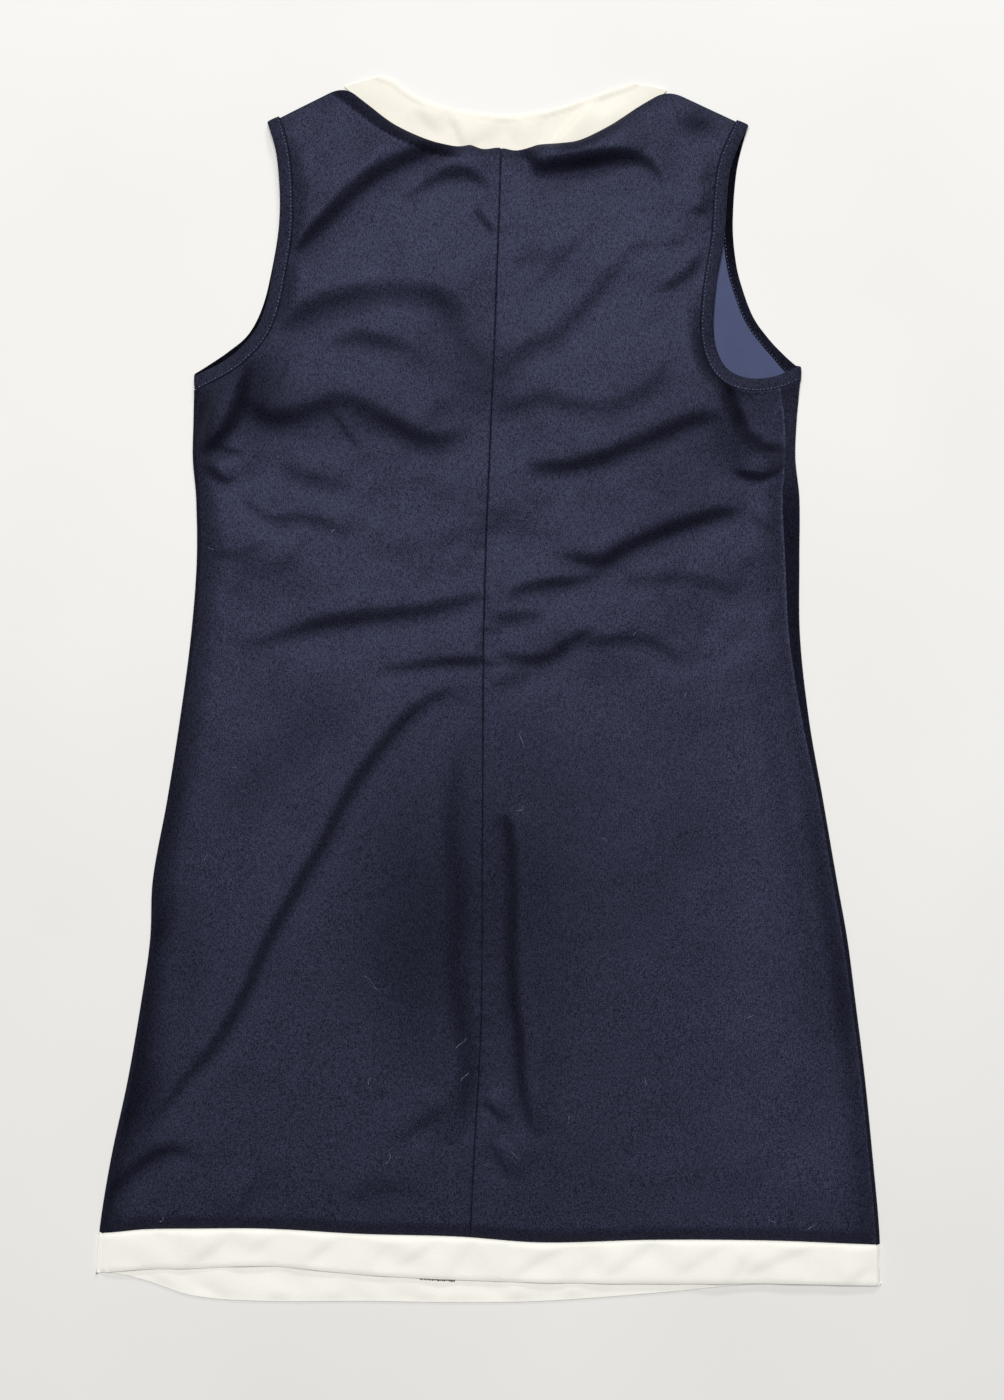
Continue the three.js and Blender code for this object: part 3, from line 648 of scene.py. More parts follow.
# Patches of painted shade and painted light: darker where the cloth lies in shade, lighter where it catches
# the light.
PAINTED_LIGHT_AND_SHADE_PATCHES = (
    Patch(158, 430, 14, 9, -0.7),
    Patch(208, 216, 16, 20, -0.35),
    Patch(165, 254, 7, 9, -0.8),
    Patch(172, 244, 7, 11, -1.3),
    Patch(181, 225, 7, 13, -1.4),
    Patch(188, 205, 7, 11, -1.2),
    Patch(197, 189, 9, 6, -0.9),
    Patch(212, 182, 11, 4, -1.1),
    Patch(-212, 205, 14, 30, -0.4),
    Patch(-176, 226, 24, 34, -0.6),
    Patch(-112, 205, 46, 20, -0.25),
    Patch(-264, -300, 20, 60, -0.6),
    Patch(-226, -200, 14, 50, -0.25),
    Patch(-62, -190, 44, 100, -0.5),
    Patch(14, -160, 60, 110, -0.45),
    Patch(90, 348, 56, 34, 0.4),
    Patch(-40, 345, 60, 60, 0.2),
    Patch(190, -330, 80, 90, 0.5),
    Patch(255, -350, 34, 70, 0.8),
    Patch(-75, -320, 50, 60, 0.25),
    Patch(85, 300, 50, 40, 0.25),
    Patch(150, 160, 50, 60, -0.2),
    Patch(-85, 330, 40, 40, 0.2),
    Patch(206, -230, 34, 190, 0.55),
    Patch(150, -380, 60, 30, 0.3),
    Patch(272, -235, 12, 60, -0.5),
    Patch(0, 242, 20, 24, -0.3),
    Patch(-34, 262, 26, 36, -0.2),
    Patch(172, 360, 18, 40, 0.3),
    Patch(176, 95, 30, 50, 0.12),
    Patch(-184, 150, 24, 26, 0.3),
)
# Where the seam of an armhole lies lower than elsewhere, in millimetres.
ARMHOLE_DIPS = (
    Patch(168, 252, 16, 22, -3.6),
    Patch(-200, 242, 22, 16, -2.6),
)


@dataclass
class Relief:
    """Heights of the top of the upper layer."""

    rest: float = 9.0  # away from edges and folds
    lowest: float = 3.6  # of a trough
    fold_gain: float = 1.0
    fold_spread: float = 1.25
    swell: float = 1.1  # uneven rise
    swell_size: float = 80.0
    dimple: float = 0.2  # the smaller unevenness of a soft knit
    dimple_size: float = 30.0
    neck: tuple[float, float] = (3.6, 9.0)  # height of the edge, and its reach into the panel
    shoulder: tuple[float, float] = (4.4, 14.0)
    armhole: tuple[float, float] = (7.2, 14.0)
    hem: tuple[float, float] = (5.0, 12.0)
    right_seam: tuple[float, float] = (4.6, 22.0)
    left_roll: tuple[float, float] = (TURN_RADIUS, 24.0)
    right_roll: tuple[float, float] = (TURN_RADIUS, 6.5)
    seam_valley: tuple[float, float] = (0.3, 8.0)  # depth and half width of the dip at the centre back
    seam_groove: tuple[float, float] = (0.42, 0.65)
    pucker: tuple[float, float, float] = (0.22, 12.0, 7.0)  # height, pitch and reach of its puckers
    ridge: tuple[float, float] = (0.8, 1.1)  # height and half width of the ridge of the right seam
    edge_painted_shade: float = 1.2  # painted shade along the left edge, where the cloth rolls down
    edge_reach: float = 13.0
    fold_painted_shade: float = 0.9  # painted shade in the flank of a fold
    ridge_painted_highlight: float = 1.3  # painted highlight on the ridge of the right seam
    slope_painted_shade: float = 0.5  # painted shade on the slope down to that seam, below the waist
    # Distance in from the seam, half width, top and length of the fade of that slope.
    slope_place: tuple[float, float, float, float] = (9.0, 7.0, -40.0, 80.0)
    facing: tuple[float, float] = (10.6, 1.4)  # width of the darkened neck edge, a pressed facing with painted shade, and its border

    def __post_init__(self) -> None:
        """Lays out the lines that the heights follow."""
        ys = np.arange(-470.0, 262.0, 6.0)
        self.left_side = np.stack([side_at(ys, "left"), ys], axis=1)
        self.right_side = np.stack([side_at(ys, "right"), ys], axis=1)
        self.back_neck = smooth_line(BACK_NECK, 3.0)
        self.armholes = [ARMHOLE_LINES[side, Layer.BACK].seam[::2] for side in Side]
        self.shoulders = [
            np.array([ARMHOLES[side, Layer.BACK][0], NECK_POINT[side]], float) for side in Side
        ]
        xs = np.arange(-300.0, 301.0, 8.0)
        self.hem_seam = np.stack([xs, hem_at(xs, "back_seam")], axis=1)

    def right_inside(self, at: Array) -> Array:
        """Distance of points in from the right side seam, negative on the wrapped strip."""
        y = at[:, 1]
        return side_at(y, "right") - side_at(y, "right_inset") - at[:, 0]

    def centre_seam(self, at: Array) -> Array:
        """Height that the centre back seam adds at points in x and y."""
        off = np.abs(at[:, 0] - centre_back(at[:, 1]))
        (valley, valley_width), (groove, groove_width) = self.seam_valley, self.seam_groove
        rise, pitch, reach = self.pucker
        wave = np.sin(2 * math.pi * at[:, 1] / pitch + 1.3 * np.sin(at[:, 1] / 31.0))
        puckers = rise * wave * (0.6 + 0.4 * np.sin(at[:, 1] / 47.0)) * np.exp(-off / reach)
        dip = valley * np.exp(-((off / valley_width) ** 2))
        return puckers - dip - groove * np.exp(-((off / groove_width) ** 2))

    def top(self, at: Array) -> Array:
        """Reads the heights.

        Args:
            at: Points in x and y.

        Returns:
            The height at each point.
        """
        worn = 0.12 + 0.88 * smoothstep((at[:, 1] + 60) / 160)
        rise = self.swell * wander(at, self.swell_size, 11)
        rise = (rise + self.dimple * wander(at, self.dimple_size, 5, 15)) * worn
        base = self.rest + rise + creases_rise(PANEL_CREASES, at, self.fold_gain, self.fold_spread)
        base = self.lowest + np.logaddexp(0, (base - self.lowest) * 2.0) / 2.0 + self.centre_seam(at)
        inside = self.right_inside(at)
        dip = patches_at(ARMHOLE_DIPS, at)
        armhole = (self.armhole[0] + dip, self.armhole[1])
        edges = [
            (distance(self.hem_seam, at), self.hem, EdgeShape.SLOPE),
            (np.maximum(inside, 0), self.right_seam, EdgeShape.SLOPE),
            *((distance(line, at), armhole, EdgeShape.SLOPE) for line in self.armholes),
            *((distance(line, at), self.shoulder, EdgeShape.SLOPE) for line in self.shoulders),
            (distance(self.back_neck, at), self.neck, EdgeShape.ROLL),
        ]
        z = base
        for away, (height, reach), shape in edges:
            z = height + (z - height) * shape.share(away / reach)
        height, width = self.ridge
        z = z + height * np.exp(-((inside / width) ** 2))
        low = smoothstep((240 - at[:, 1]) / 20)
        for away, (height, reach), shape in (
            (at[:, 0] - side_at(at[:, 1], "left"), self.left_roll, EdgeShape.RAMP),
            (side_at(at[:, 1], "right") - at[:, 0], self.right_roll, EdgeShape.ROLL),
        ):
            rolled = height + (z - height) * shape.share(away / reach)
            z = z + (rolled - z) * low
        return z

    def nap_and_shade(self, at: Array) -> Array:
        """How the nap of the upper layer lies, with painted shade and painted light added to it.

        Args:
            at: Points in x and y.

        Returns:
            From -1, dark, to 1, light: pressed and brushed nap, painted shade in folds, on rolled edges and
            slopes, and painted highlights.
        """
        away = distance(self.back_neck, at)
        width, border = self.facing
        x = at[:, 0]
        # The strip along the neck edge is darker: a pressed facing, with painted shade where the edge rolls
        # down.
        left = smoothstep((-18 - x) / 14)
        right = smoothstep((x - 44) / 16) * (1 - 0.75 * smoothstep((x - 88) / 20)) * 0.75
        middle = 0.4 * (1 - left) * (1 - smoothstep((x - 30) / 20))
        pressed_and_shaded = 1 - smoothstep((away - width + border / 2) / border)
        soft = 1 - smoothstep((away - 4) / 8)
        # A lighter line along that strip's border on the left: painted highlight.
        border_highlight = 0.4 * np.exp(-(((away - width - 1.6) / 1.3) ** 2)) * smoothstep((-60 - x) / 8)
        # Darker along the left edge, more so lower down: painted shade of the rolled edge.
        edge = np.exp(-(((x - side_at(at[:, 1], "left")) / self.edge_reach) ** 2))
        edge_shade = self.edge_painted_shade * edge * (0.45 + 0.55 * smoothstep((20 - at[:, 1]) / 120))
        # A light line on the ridge of the right seam: painted highlight.
        ridge = self.ridge_painted_highlight * np.exp(-((self.right_inside(at) / self.ridge[1]) ** 2))
        # Darker in the flanks of folds: painted shade.
        fold_shade = self.fold_painted_shade * creases_depth(PANEL_CREASES, at, self.fold_spread)
        # Darker on the slope down to the right seam, below the waist: painted shade.
        in_from_seam, half_width, top, fade = self.slope_place
        slope = np.exp(-(((self.right_inside(at) - in_from_seam) / half_width) ** 2))
        slope = slope * smoothstep((top - at[:, 1]) / fade)
        laid_and_shaded = pressed_and_shaded * left + soft * (right + middle) + edge_shade + fold_shade + self.slope_painted_shade * slope
        # The patches add painted shade and painted light.
        return border_highlight + ridge - laid_and_shaded + patches_at(PAINTED_LIGHT_AND_SHADE_PATCHES, at)


# Meshes


def fill(
    outline: Array, pitch: float, rings: Sequence[float] = (0.7, 1.5), guides: Sequence[Array] = ()
) -> tuple[Array, Array]:
    """Fills an outline with near equal triangles.

    Args:
        outline: Corner points in x and y, the last one joined to the first.
        pitch: Distance between the points inside.
        rings: How far inside the outline further rows of points follow it.
        guides: Further lines of points that the triangles follow.

    Returns:
        The points, and the triangles as rows of three indices, facing up.
    """
    x, y = outline[:, 0], outline[:, 1]
    if np.sum(x * np.roll(y, -1) - y * np.roll(x, -1)) < 0:
        outline = outline[::-1]
    edge = KDTree(len(outline))
    for i, p in enumerate(outline):
        edge.insert((*p, 0.0), i)
    edge.balance()
    kept = [p for guide in guides for p in guide if edge.find((*p, 0.0))[2] > 0.5]
    guide_tree = KDTree(len(kept) + 1)
    for i, p in enumerate([*kept, outline[0]]):
        guide_tree.insert((*p, 0.0), i)
    guide_tree.balance()
    ahead = np.roll(outline, -1, axis=0) - np.roll(outline, 1, axis=0)
    ahead /= np.linalg.norm(ahead, axis=1)[:, None] + 1e-9
    inward = np.stack([-ahead[:, 1], ahead[:, 0]], axis=1)
    low, high = outline.min(axis=0), outline.max(axis=0)
    rows = np.arange(low[1], high[1], pitch * math.sqrt(3) / 2)
    columns = np.arange(low[0], high[0], pitch)
    grid = np.array([(cx + pitch / 2 * (k % 2), cy) for k, cy in enumerate(rows) for cx in columns])
    inner = list(kept)
    for depth in rings:
        offset = outline + inward * depth
        inner += [
            p for p in offset
            if edge.find((*p, 0.0))[2] > 0.85 * depth and guide_tree.find((*p, 0.0))[2] > 0.5
        ]
    clear = max(rings, default=0) + 0.55 * pitch
    apart = 0.6 * pitch
    inner += [p for p in grid if edge.find((*p, 0.0))[2] > clear and guide_tree.find((*p, 0.0))[2] > apart]
    count = len(outline)
    points = [Vector(p) for p in outline] + [Vector(p) for p in inner]
    ring = list(range(count))
    edges = [(i, (i + 1) % count) for i in ring]
    made = delaunay_2d_cdt(points, edges, [ring], 1, 1e-6)
    spots, faces = np.array([tuple(v) for v in made[0]]), np.array(made[2], int)
    used, faces = np.unique(faces, return_inverse=True)
    return spots[used], faces.reshape(-1, 3)


def normals_of(points: Array, faces: Array) -> Array:
    """Averages the normals of the faces round each point.

    Args:
        points: Positions.
        faces: Triangles as rows of three indices.

    Returns:
        A unit normal for each point.
    """
    a, b, c = (points[faces[:, k]] for k in range(3))
    square = np.cross(b - a, c - a)
    total = np.zeros_like(points)
    for k in range(3):
        np.add.at(total, faces[:, k], square)
    return total / (np.linalg.norm(total, axis=1)[:, None] + 1e-12)


def border_of(faces: Array) -> Array:
    """Finds the edges that only one triangle has, in the direction it runs along them."""
    edges = np.vstack([faces[:, [0, 1]], faces[:, [1, 2]], faces[:, [2, 0]]])
    size = int(faces.max()) + 1
    forward, backward = edges[:, 0] * size + edges[:, 1], edges[:, 1] * size + edges[:, 0]
    return edges[~np.isin(forward, backward)]


@dataclass
class MeshParts:
    """Points and triangles gathered for one mesh, in millimetres."""

    points: list[Array] = field(default_factory=list)
    faces: list[Array] = field(default_factory=list)
    finishes: list[Array] = field(default_factory=list)
    count: int = 0

    def add(self, points: Array, faces: Array, finish: int = 0) -> None:
        """Adds a part.

        Args:
            points: Positions.
            faces: Triangles, with indices into those points.
            finish: Index of the material.
        """
        self.points.append(points)
        self.faces.append(faces + self.count)
        self.finishes.append(np.full(len(faces), finish))
        self.count += len(points)

    def build(self, name: str, materials: Sequence[bpy.types.Material]) -> bpy.types.Object:
        """Makes the object, in metres.

        Args:
            name: Name of the object.
            materials: Materials for the indices given.

        Returns:
            The object, linked to the scene and smooth shaded.
        """
        points = np.vstack(self.points) * MM
        points[:, 2] = np.maximum(points[:, 2], 0)
        faces = np.vstack(self.faces).astype(np.int32)
        mesh = bpy.data.meshes.new(name)
        mesh.vertices.add(len(points))
        mesh.vertices.foreach_set("co", points.astype(np.float32).ravel())
        mesh.loops.add(faces.size)
        mesh.loops.foreach_set("vertex_index", faces.ravel())
        mesh.polygons.add(len(faces))
        mesh.polygons.foreach_set("loop_start", np.arange(0, faces.size, 3, dtype=np.int32))
        mesh.polygons.foreach_set("material_index", np.concatenate(self.finishes).astype(np.int32))
        for material in materials:
            mesh.materials.append(material)
        mesh.update(calc_edges=True)
        mesh.validate()
        mesh.shade_smooth()
        made = bpy.data.objects.new(name, mesh)
        bpy.context.scene.collection.objects.link(made)
        return made

    def write(self, made: bpy.types.Object, name: str, values: Array) -> None:
        """Stores one value for each point.

        Args:
            made: The object built.
            name: Name of the attribute.
            values: The values; the points past them get 0.
        """
        stored = np.zeros(len(made.data.vertices), np.float32)
        stored[: len(values)] = values
        made.data.attributes.new(name, "FLOAT", "POINT").data.foreach_set("value", stored)


def cloth_parts(outer: Array, faces: Array, thickness: float = CLOTH) -> MeshParts:
    """Gives a surface the thickness of cloth, with rounded edges.

    Args:
        outer: Positions of the right side of the cloth.
        faces: Triangles that face out of the right side.
        thickness: Distance to the wrong side.

    Returns:
        The closed mesh: the right side has finish 0 and the wrong side finish 1.
    """
    normals = normals_of(outer, faces)
    inner = outer - normals * thickness
    parts = MeshParts()
    parts.add(np.vstack([outer, inner]), faces)
    wrong = faces[:, ::-1] + len(outer)
    border = border_of(faces)
    ahead = outer[border[:, 1]] - outer[border[:, 0]]
    away = np.zeros_like(outer)
    for k in range(2):
        np.add.at(away, border[:, k], np.cross(ahead, normals[border[:, k]]))
    rim = np.unique(border)
    away = away[rim] / (np.linalg.norm(away[rim], axis=1)[:, None] + 1e-12)
    middle = (outer[rim] + inner[rim]) / 2 + away * thickness * 0.32
    place = np.zeros(len(outer), int)
    place[rim] = np.arange(len(rim)) + 2 * len(outer)
    a, b = border[:, 0], border[:, 1]
    ring = []
    for p, q, r, s in ((a, b, place[a], place[b]), (place[a], place[b], a + len(outer), b + len(outer))):
        ring += [np.stack([q, p, r], axis=1), np.stack([q, r, s], axis=1)]
    parts.points.append(middle)
    parts.faces += [wrong, np.vstack(ring)]
    parts.finishes += [np.full(len(wrong), 1), np.zeros(4 * len(border), int)]
    parts.count += len(middle)
    return parts


def tube(line: Array, radius: float, sides: int = 6, taper: bool = True) -> tuple[Array, Array]:
    """Makes a round thread along a line.

    Args:
        line: Points of the line.
        radius: Radius of the thread.
        sides: Facets round it.
        taper: Whether its ends close to a rounded tip.

    Returns:
        The points and triangles.
    """
    ahead = np.gradient(line, axis=0)
    ahead /= np.linalg.norm(ahead, axis=1)[:, None] + 1e-12
    side = np.cross(ahead, np.array([0.02, 0.05, 1.0]))
    side /= np.linalg.norm(side, axis=1)[:, None] + 1e-12
    up = np.cross(side, ahead)
    sizes = np.full(len(line), radius)
    if taper:
        sizes[0] = sizes[-1] = radius * 0.35
    angles = np.linspace(0, 2 * math.pi, sides, endpoint=False)
    rings = [
        line[i] + sizes[i] * (np.cos(angles)[:, None] * side[i] + np.sin(angles)[:, None] * up[i])
        for i in range(len(line))
    ]
    points = np.vstack([*rings, line[:1], line[-1:]])
    faces = []
    for i in range(len(line) - 1):
        for j in range(sides):
            k = (j + 1) % sides
            p, q = i * sides, (i + 1) * sides
            faces += [(p + j, p + k, q + k), (p + j, q + k, q + j)]
    first, last, end = len(points) - 2, len(points) - 1, (len(line) - 1) * sides
    for j in range(sides):
        k = (j + 1) % sides
        faces += [(first, k, j), (last, end + j, end + k)]
    return points, np.array(faces)


# Outlines


def beyond_seam(line: Array, side: Side, inside: bool) -> Array:
    """Cuts an armhole seam of the upper layer where it meets the side seam.

    Args:
        line: The armhole seam, from shoulder to underarm.
        side: Side of the dress.
        inside: Whether the part on the panel is wanted, or the part on the wrapped edge.

    Returns:
        The part of the line, with the meeting point at its end or start.
    """
    name = side.word
    seam = side_at(line[:, 1], name) - side.value * side_at(line[:, 1], f"{name}_inset")
    over = (line[:, 0] - seam) * side.value
    k = int(np.flatnonzero((over[:-1] < 0) & (over[1:] >= 0) & (line[:-1, 1] < 300))[-1])
    t = -over[k] / (over[k + 1] - over[k])
    meeting = line[k] + (line[k + 1] - line[k]) * t
    return np.vstack([line[: k + 1], meeting]) if inside else np.vstack([meeting, line[k + 1 :]])


def side_seam(side: Side, top: float, offset: float) -> Array:
    """Side seam on the upper layer, from the hem seam up.

    Args:
        side: Side of the dress.
        top: Height where it ends.
        offset: How much further in than the seam.

    Returns:
        Its points.
    """
    inset = f"{side.word}_inset"
    foot = float(hem_at(np.array([295.0 * side.value]), "back_seam")[0])
    ys = np.linspace(foot, top, max(2, round((top - foot) / LINE_STEP)))
    xs = side_at(ys, side.word) - side.value * (side_at(ys, inset) + offset)
    return np.stack([xs, ys], axis=1)


def across(first: float, last: float, name: str, offset: float = 0.0) -> Array:
    """Hem line between two places across.

    Args:
        first: Where it starts.
        last: Where it ends.
        name: Column of the hem's table.
        offset: Moves it towards the neck.

    Returns:
        Its points.
    """
    xs = np.linspace(first, last, max(2, round(abs(last - first) / LINE_STEP)))
    return np.stack([xs, hem_at(xs, name) + offset], axis=1)


# The turned sides of the lower layer. Its cloth is laid out flat as (u, y): u is x on the surface, and
# runs on round the turn and back over the top.

TURN_START = 1.5  # softens the change from the turn to the top


def unfold(side: Side, at: Array) -> Array:
    """Lays points of the turned edge out flat.

    Args:
        side: Side of the dress.
        at: Points in x and y of the upper part of the turned edge.

    Returns:
        Points in u and y.
    """
    edge = side_at(at[:, 1], side.word) * side.value
    inside = np.maximum(edge - at[:, 0] * side.value, 0)
    t = np.sqrt((inside + TURN_START) ** 2 - TURN_START**2)
    u = edge - TURN_RADIUS + TURN_RADIUS * math.pi / 2 + t
    return np.stack([u * side.value, at[:, 1]], axis=1)


def fold_up(flat: Array, lower: Callable[[Array], Array], upper: Callable[[Array], Array]) -> Array:
    """Folds flat cloth up round both sides.

    Args:
        flat: Points in u and y.
        lower: Height of the underside on the surface, for points in x and y.
        upper: Height of the top of the turned edge, for points in x and y.

    Returns:
        The positions of the right side of the cloth.
    """
    u, y = flat[:, 0], flat[:, 1]
    sign = np.where(u < 0, -1.0, 1.0)
    edge = np.where(u < 0, -side_at(y, "left"), side_at(y, "right"))
    size = np.abs(u)
    start, quarter = edge - TURN_RADIUS, TURN_RADIUS * math.pi / 2
    angle = np.clip((size - start) / TURN_RADIUS, 0, math.pi / 2)
    t = np.maximum(size - start - quarter, 0)
    inside = np.sqrt(t * t + TURN_START**2) - TURN_START
    x_low = np.where(size < start, size, start + TURN_RADIUS * np.sin(angle))
    x = sign * np.where(t > 0, edge - inside, x_low)
    plan = np.stack([x, y], axis=1)
    z = np.where(t > 0, upper(plan), TURN_RADIUS * (1 - np.cos(angle)) + lower(plan) * (size < start))
    return np.column_stack([plan, z])


def turn_guides(low: float, high: float) -> list[Array]:
    """Lines of points along both turned sides, flat, so that the turns come out smooth.

    Args:
        low: Height where they start.
        high: Height where they end.

    Returns:
        The lines.
    """
    ys = np.arange(low, high, 3.0)
    lines = []
    for side in Side:
        start = side_at(ys, side.word) * side.value - TURN_RADIUS
        for step in (-4.0, -1.8, 0.0, 0.7, 1.4, 2.1, TURN_RADIUS * math.pi / 2, 3.7, 4.7, 6.0, 7.8, 10.0):
            u = (start + step) * side.value
            lines.append(np.stack([u, ys], axis=1))
    return lines


# The pieces


class Held(NamedTuple):
    """What every piece of the dress is given: its relief and its finishes."""

    relief: Relief
    navy: bpy.types.Material
    navy_inside: bpy.types.Material
    navy_thread: bpy.types.Material
    overlock_thread: bpy.types.Material
    cream: bpy.types.Material
    cream_inside: bpy.types.Material
    lint: bpy.types.Material


def inside_of(outline: Array, at: Array) -> Array:
    """Tells which points lie inside an outline.

    Args:
        outline: Corner points, the last one joined to the first.
        at: Points in x and y.

    Returns:
        True for the points inside.
    """
    inside = np.zeros(len(at), bool)
    for a, b in zip(outline, np.roll(outline, -1, axis=0)):
        crosses = (a[1] > at[:, 1]) != (b[1] > at[:, 1])
        rise = b[1] - a[1] if b[1] != a[1] else 1e-9
        inside ^= crosses & (at[:, 0] < (b[0] - a[0]) * (at[:, 1] - a[1]) / rise + a[0])
    return inside


def surface_area(made: bpy.types.Object) -> float:
    """Area of one face of a piece of cloth, in square metres."""
    return sum(face.area for face in made.data.polygons) / 2


def lay(
    made: bpy.types.Object, nodes: Sequence[str]
) -> bpy.types.Object:
    """Attaches a piece of cloth to the root body, hides the CAD nodes it stands for and logs its size.

    Args:
        made: The piece.
        nodes: CAD nodes that it stands for.

    Returns:
        The piece.
    """
    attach(made, "root")
    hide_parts(*nodes)
    LOG.info("%s: %d triangles, %.4f m2", made.name, len(made.data.polygons), surface_area(made))
    return made


def trim(made: bpy.types.Object) -> bpy.types.Object:
    """Attaches stitching or another small piece that lies on the cloth to the root body, and logs it."""
    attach(made, "root")
    LOG.info("%s: %d triangles", made.name, len(made.data.polygons))
    return made


@dataclass
class BackPanel:
    """One half of the back, from the centre back seam to the side seam."""

    side: Side
    held: Held
    pitch: float = 2.3
    flat: Point = (300.0, 880.0)

    def outline(self) -> Array:
        """Outline of the half, from the neck end of the centre back seam round by the armhole."""
        sign = self.side.value
        neck = smooth_line(BACK_NECK)
        off = (neck[:, 0] - centre_back(neck[:, 1])) * sign
        neck = neck[off > SEAM_HALF]
        neck = neck[::sign]
        armhole = beyond_seam(ARMHOLE_LINES[self.side, Layer.BACK].seam, self.side, inside=True)
        shoulder = respaced(np.vstack([neck[-1], armhole[0]]), LINE_STEP)
        top = joined(neck, shoulder[:-1], NECK_ROUNDING)
        seam = side_seam(self.side, armhole[-1][1], SEAM_GAP)[::-1]
        foot = float(centre_back(np.array([-415.0]))[0]) + sign * SEAM_HALF
        hem = across(seam[-1][0], foot, "back_seam", SEAM_GAP)
        ys = np.arange(hem[-1][1] + 1.6, neck[0][1] - 0.8, 1.6)
        centre = np.stack([centre_back(ys) + sign * SEAM_HALF, ys], axis=1)
        return np.vstack([top, armhole, seam[1:-1], hem, centre])

    def build(self) -> bpy.types.Object:
        """Makes the half panel.

        Returns:
            The piece.
        """
        plan, faces = fill(self.outline(), self.pitch)
        outer = np.column_stack([plan, self.held.relief.top(plan)])
        parts = cloth_parts(outer, faces)
        name = f"back_panel_{self.side.word}_cloth"
        made = parts.build(name, (self.held.navy, self.held.navy_inside))
        # The attribute carries pressed nap, painted shade and painted light.
        parts.write(made, "nap_and_shade", np.tile(self.held.relief.nap_and_shade(plan), 2))
        return lay(made, [f"back_panel_{self.side.word}"])


@dataclass
class FrontPanel:
    """The front: flat on the surface, with both sides turned up and over to the side seams."""

    held: Held
    pitch: float = 4.2
    flat: Point = (625.0, 895.0)
    bulge: float = 1.6  # soft rise of the cloth inside the open armhole
    bulge_place: tuple[float, float, float, float] = (192.0, 292.0, 26.0, 44.0)  # x, y, half width and height
    left_nap: float = 1.0  # painted shade round the turned left edge
    turned_painted_shade: tuple[float, float] = (-0.55, -1.3)  # painted shade of the turned strip, by the underarm and below it
    turned_change: tuple[float, float] = (175.0, 50.0)  # height where the first gives way, over this far

    def side_outline(self, side: Side) -> Array:
        """Outline of one side, flat, from the upper hem corner to the neck point."""
        sign = side.value
        over = ARMHOLE_LINES[side, Layer.BACK].seam
        under = ARMHOLE_LINES[side, Layer.FRONT].seam
        foot = min(over[-1][1], under[-1][1])
        strip = beyond_seam(over, side, inside=False)
        seam = side_seam(side, strip[0][1], 0.0)
        edge = float(side_at(np.array([foot]), side.word)[0])
        turned = unfold(side, np.vstack([seam, strip[1:], [edge - sign * 0.3, foot]]))
        lower = np.vstack([[edge - sign * (TURN_RADIUS + 0.1), foot], under[::-1]])
        shoulder = respaced(np.vstack([under[0], np.array(NECK_POINT[side], float)]), 4.0)[1:]
        return np.vstack([turned, lower, shoulder])

    def outline(self) -> Array:
        """Outline of the whole cut, flat."""
        right, left = self.side_outline(Side.RIGHT), self.side_outline(Side.LEFT)
        neck = smooth_line(FRONT_NECK, 4.0)[::-1]
        hem = across(-296.0, 296.0, "front_edge", HEM_BAND_DEPTH + SEAM_GAP)
        body = joined(joined(right, neck, NECK_ROUNDING), left[::-1], NECK_ROUNDING)
        return np.vstack([body, hem])

    def lower(self, at: Array) -> Array:
        """Height of the cloth above the surface, at points in x and y."""
        x0, y0, wide, high = self.bulge_place
        x, y = (at[:, 0] - x0) / wide, (at[:, 1] - y0) / high
        return self.bulge * np.exp(-(x * x + y * y))

    def build(self) -> bpy.types.Object:
        """Makes the front.

        Returns:
            The piece.
        """
        outline = subdivided(self.outline(), 1.0)
        guides = [line[inside_of(outline, line)] for line in turn_guides(-425.0, 232.0)]
        plan, faces = fill(outline, self.pitch, (0.7, 1.5), guides)
        near = side_at(plan[:, 1], "right")
        outer = fold_up(plan, self.lower, self.held.relief.top)
        parts = cloth_parts(outer, faces[:, ::-1])
        made = parts.build("front_panel_cloth", (self.held.navy, self.held.navy_inside))
        # The turned strip and the left turn are darkened: painted shade, darker below the waist.
        upper, lower = self.turned_painted_shade
        top, fade = self.turned_change
        share = smoothstep((top - plan[:, 1]) / fade)
        turned = smoothstep((plan[:, 0] - near + 1) / 2) * (upper + (lower - upper) * share)
        turned -= self.left_nap * smoothstep((side_at(plan[:, 1], "left") - plan[:, 0] + 2) / 2)
        parts.write(made, "nap_and_shade", np.tile(turned, 2))
        return lay(made, ["front_panel"])


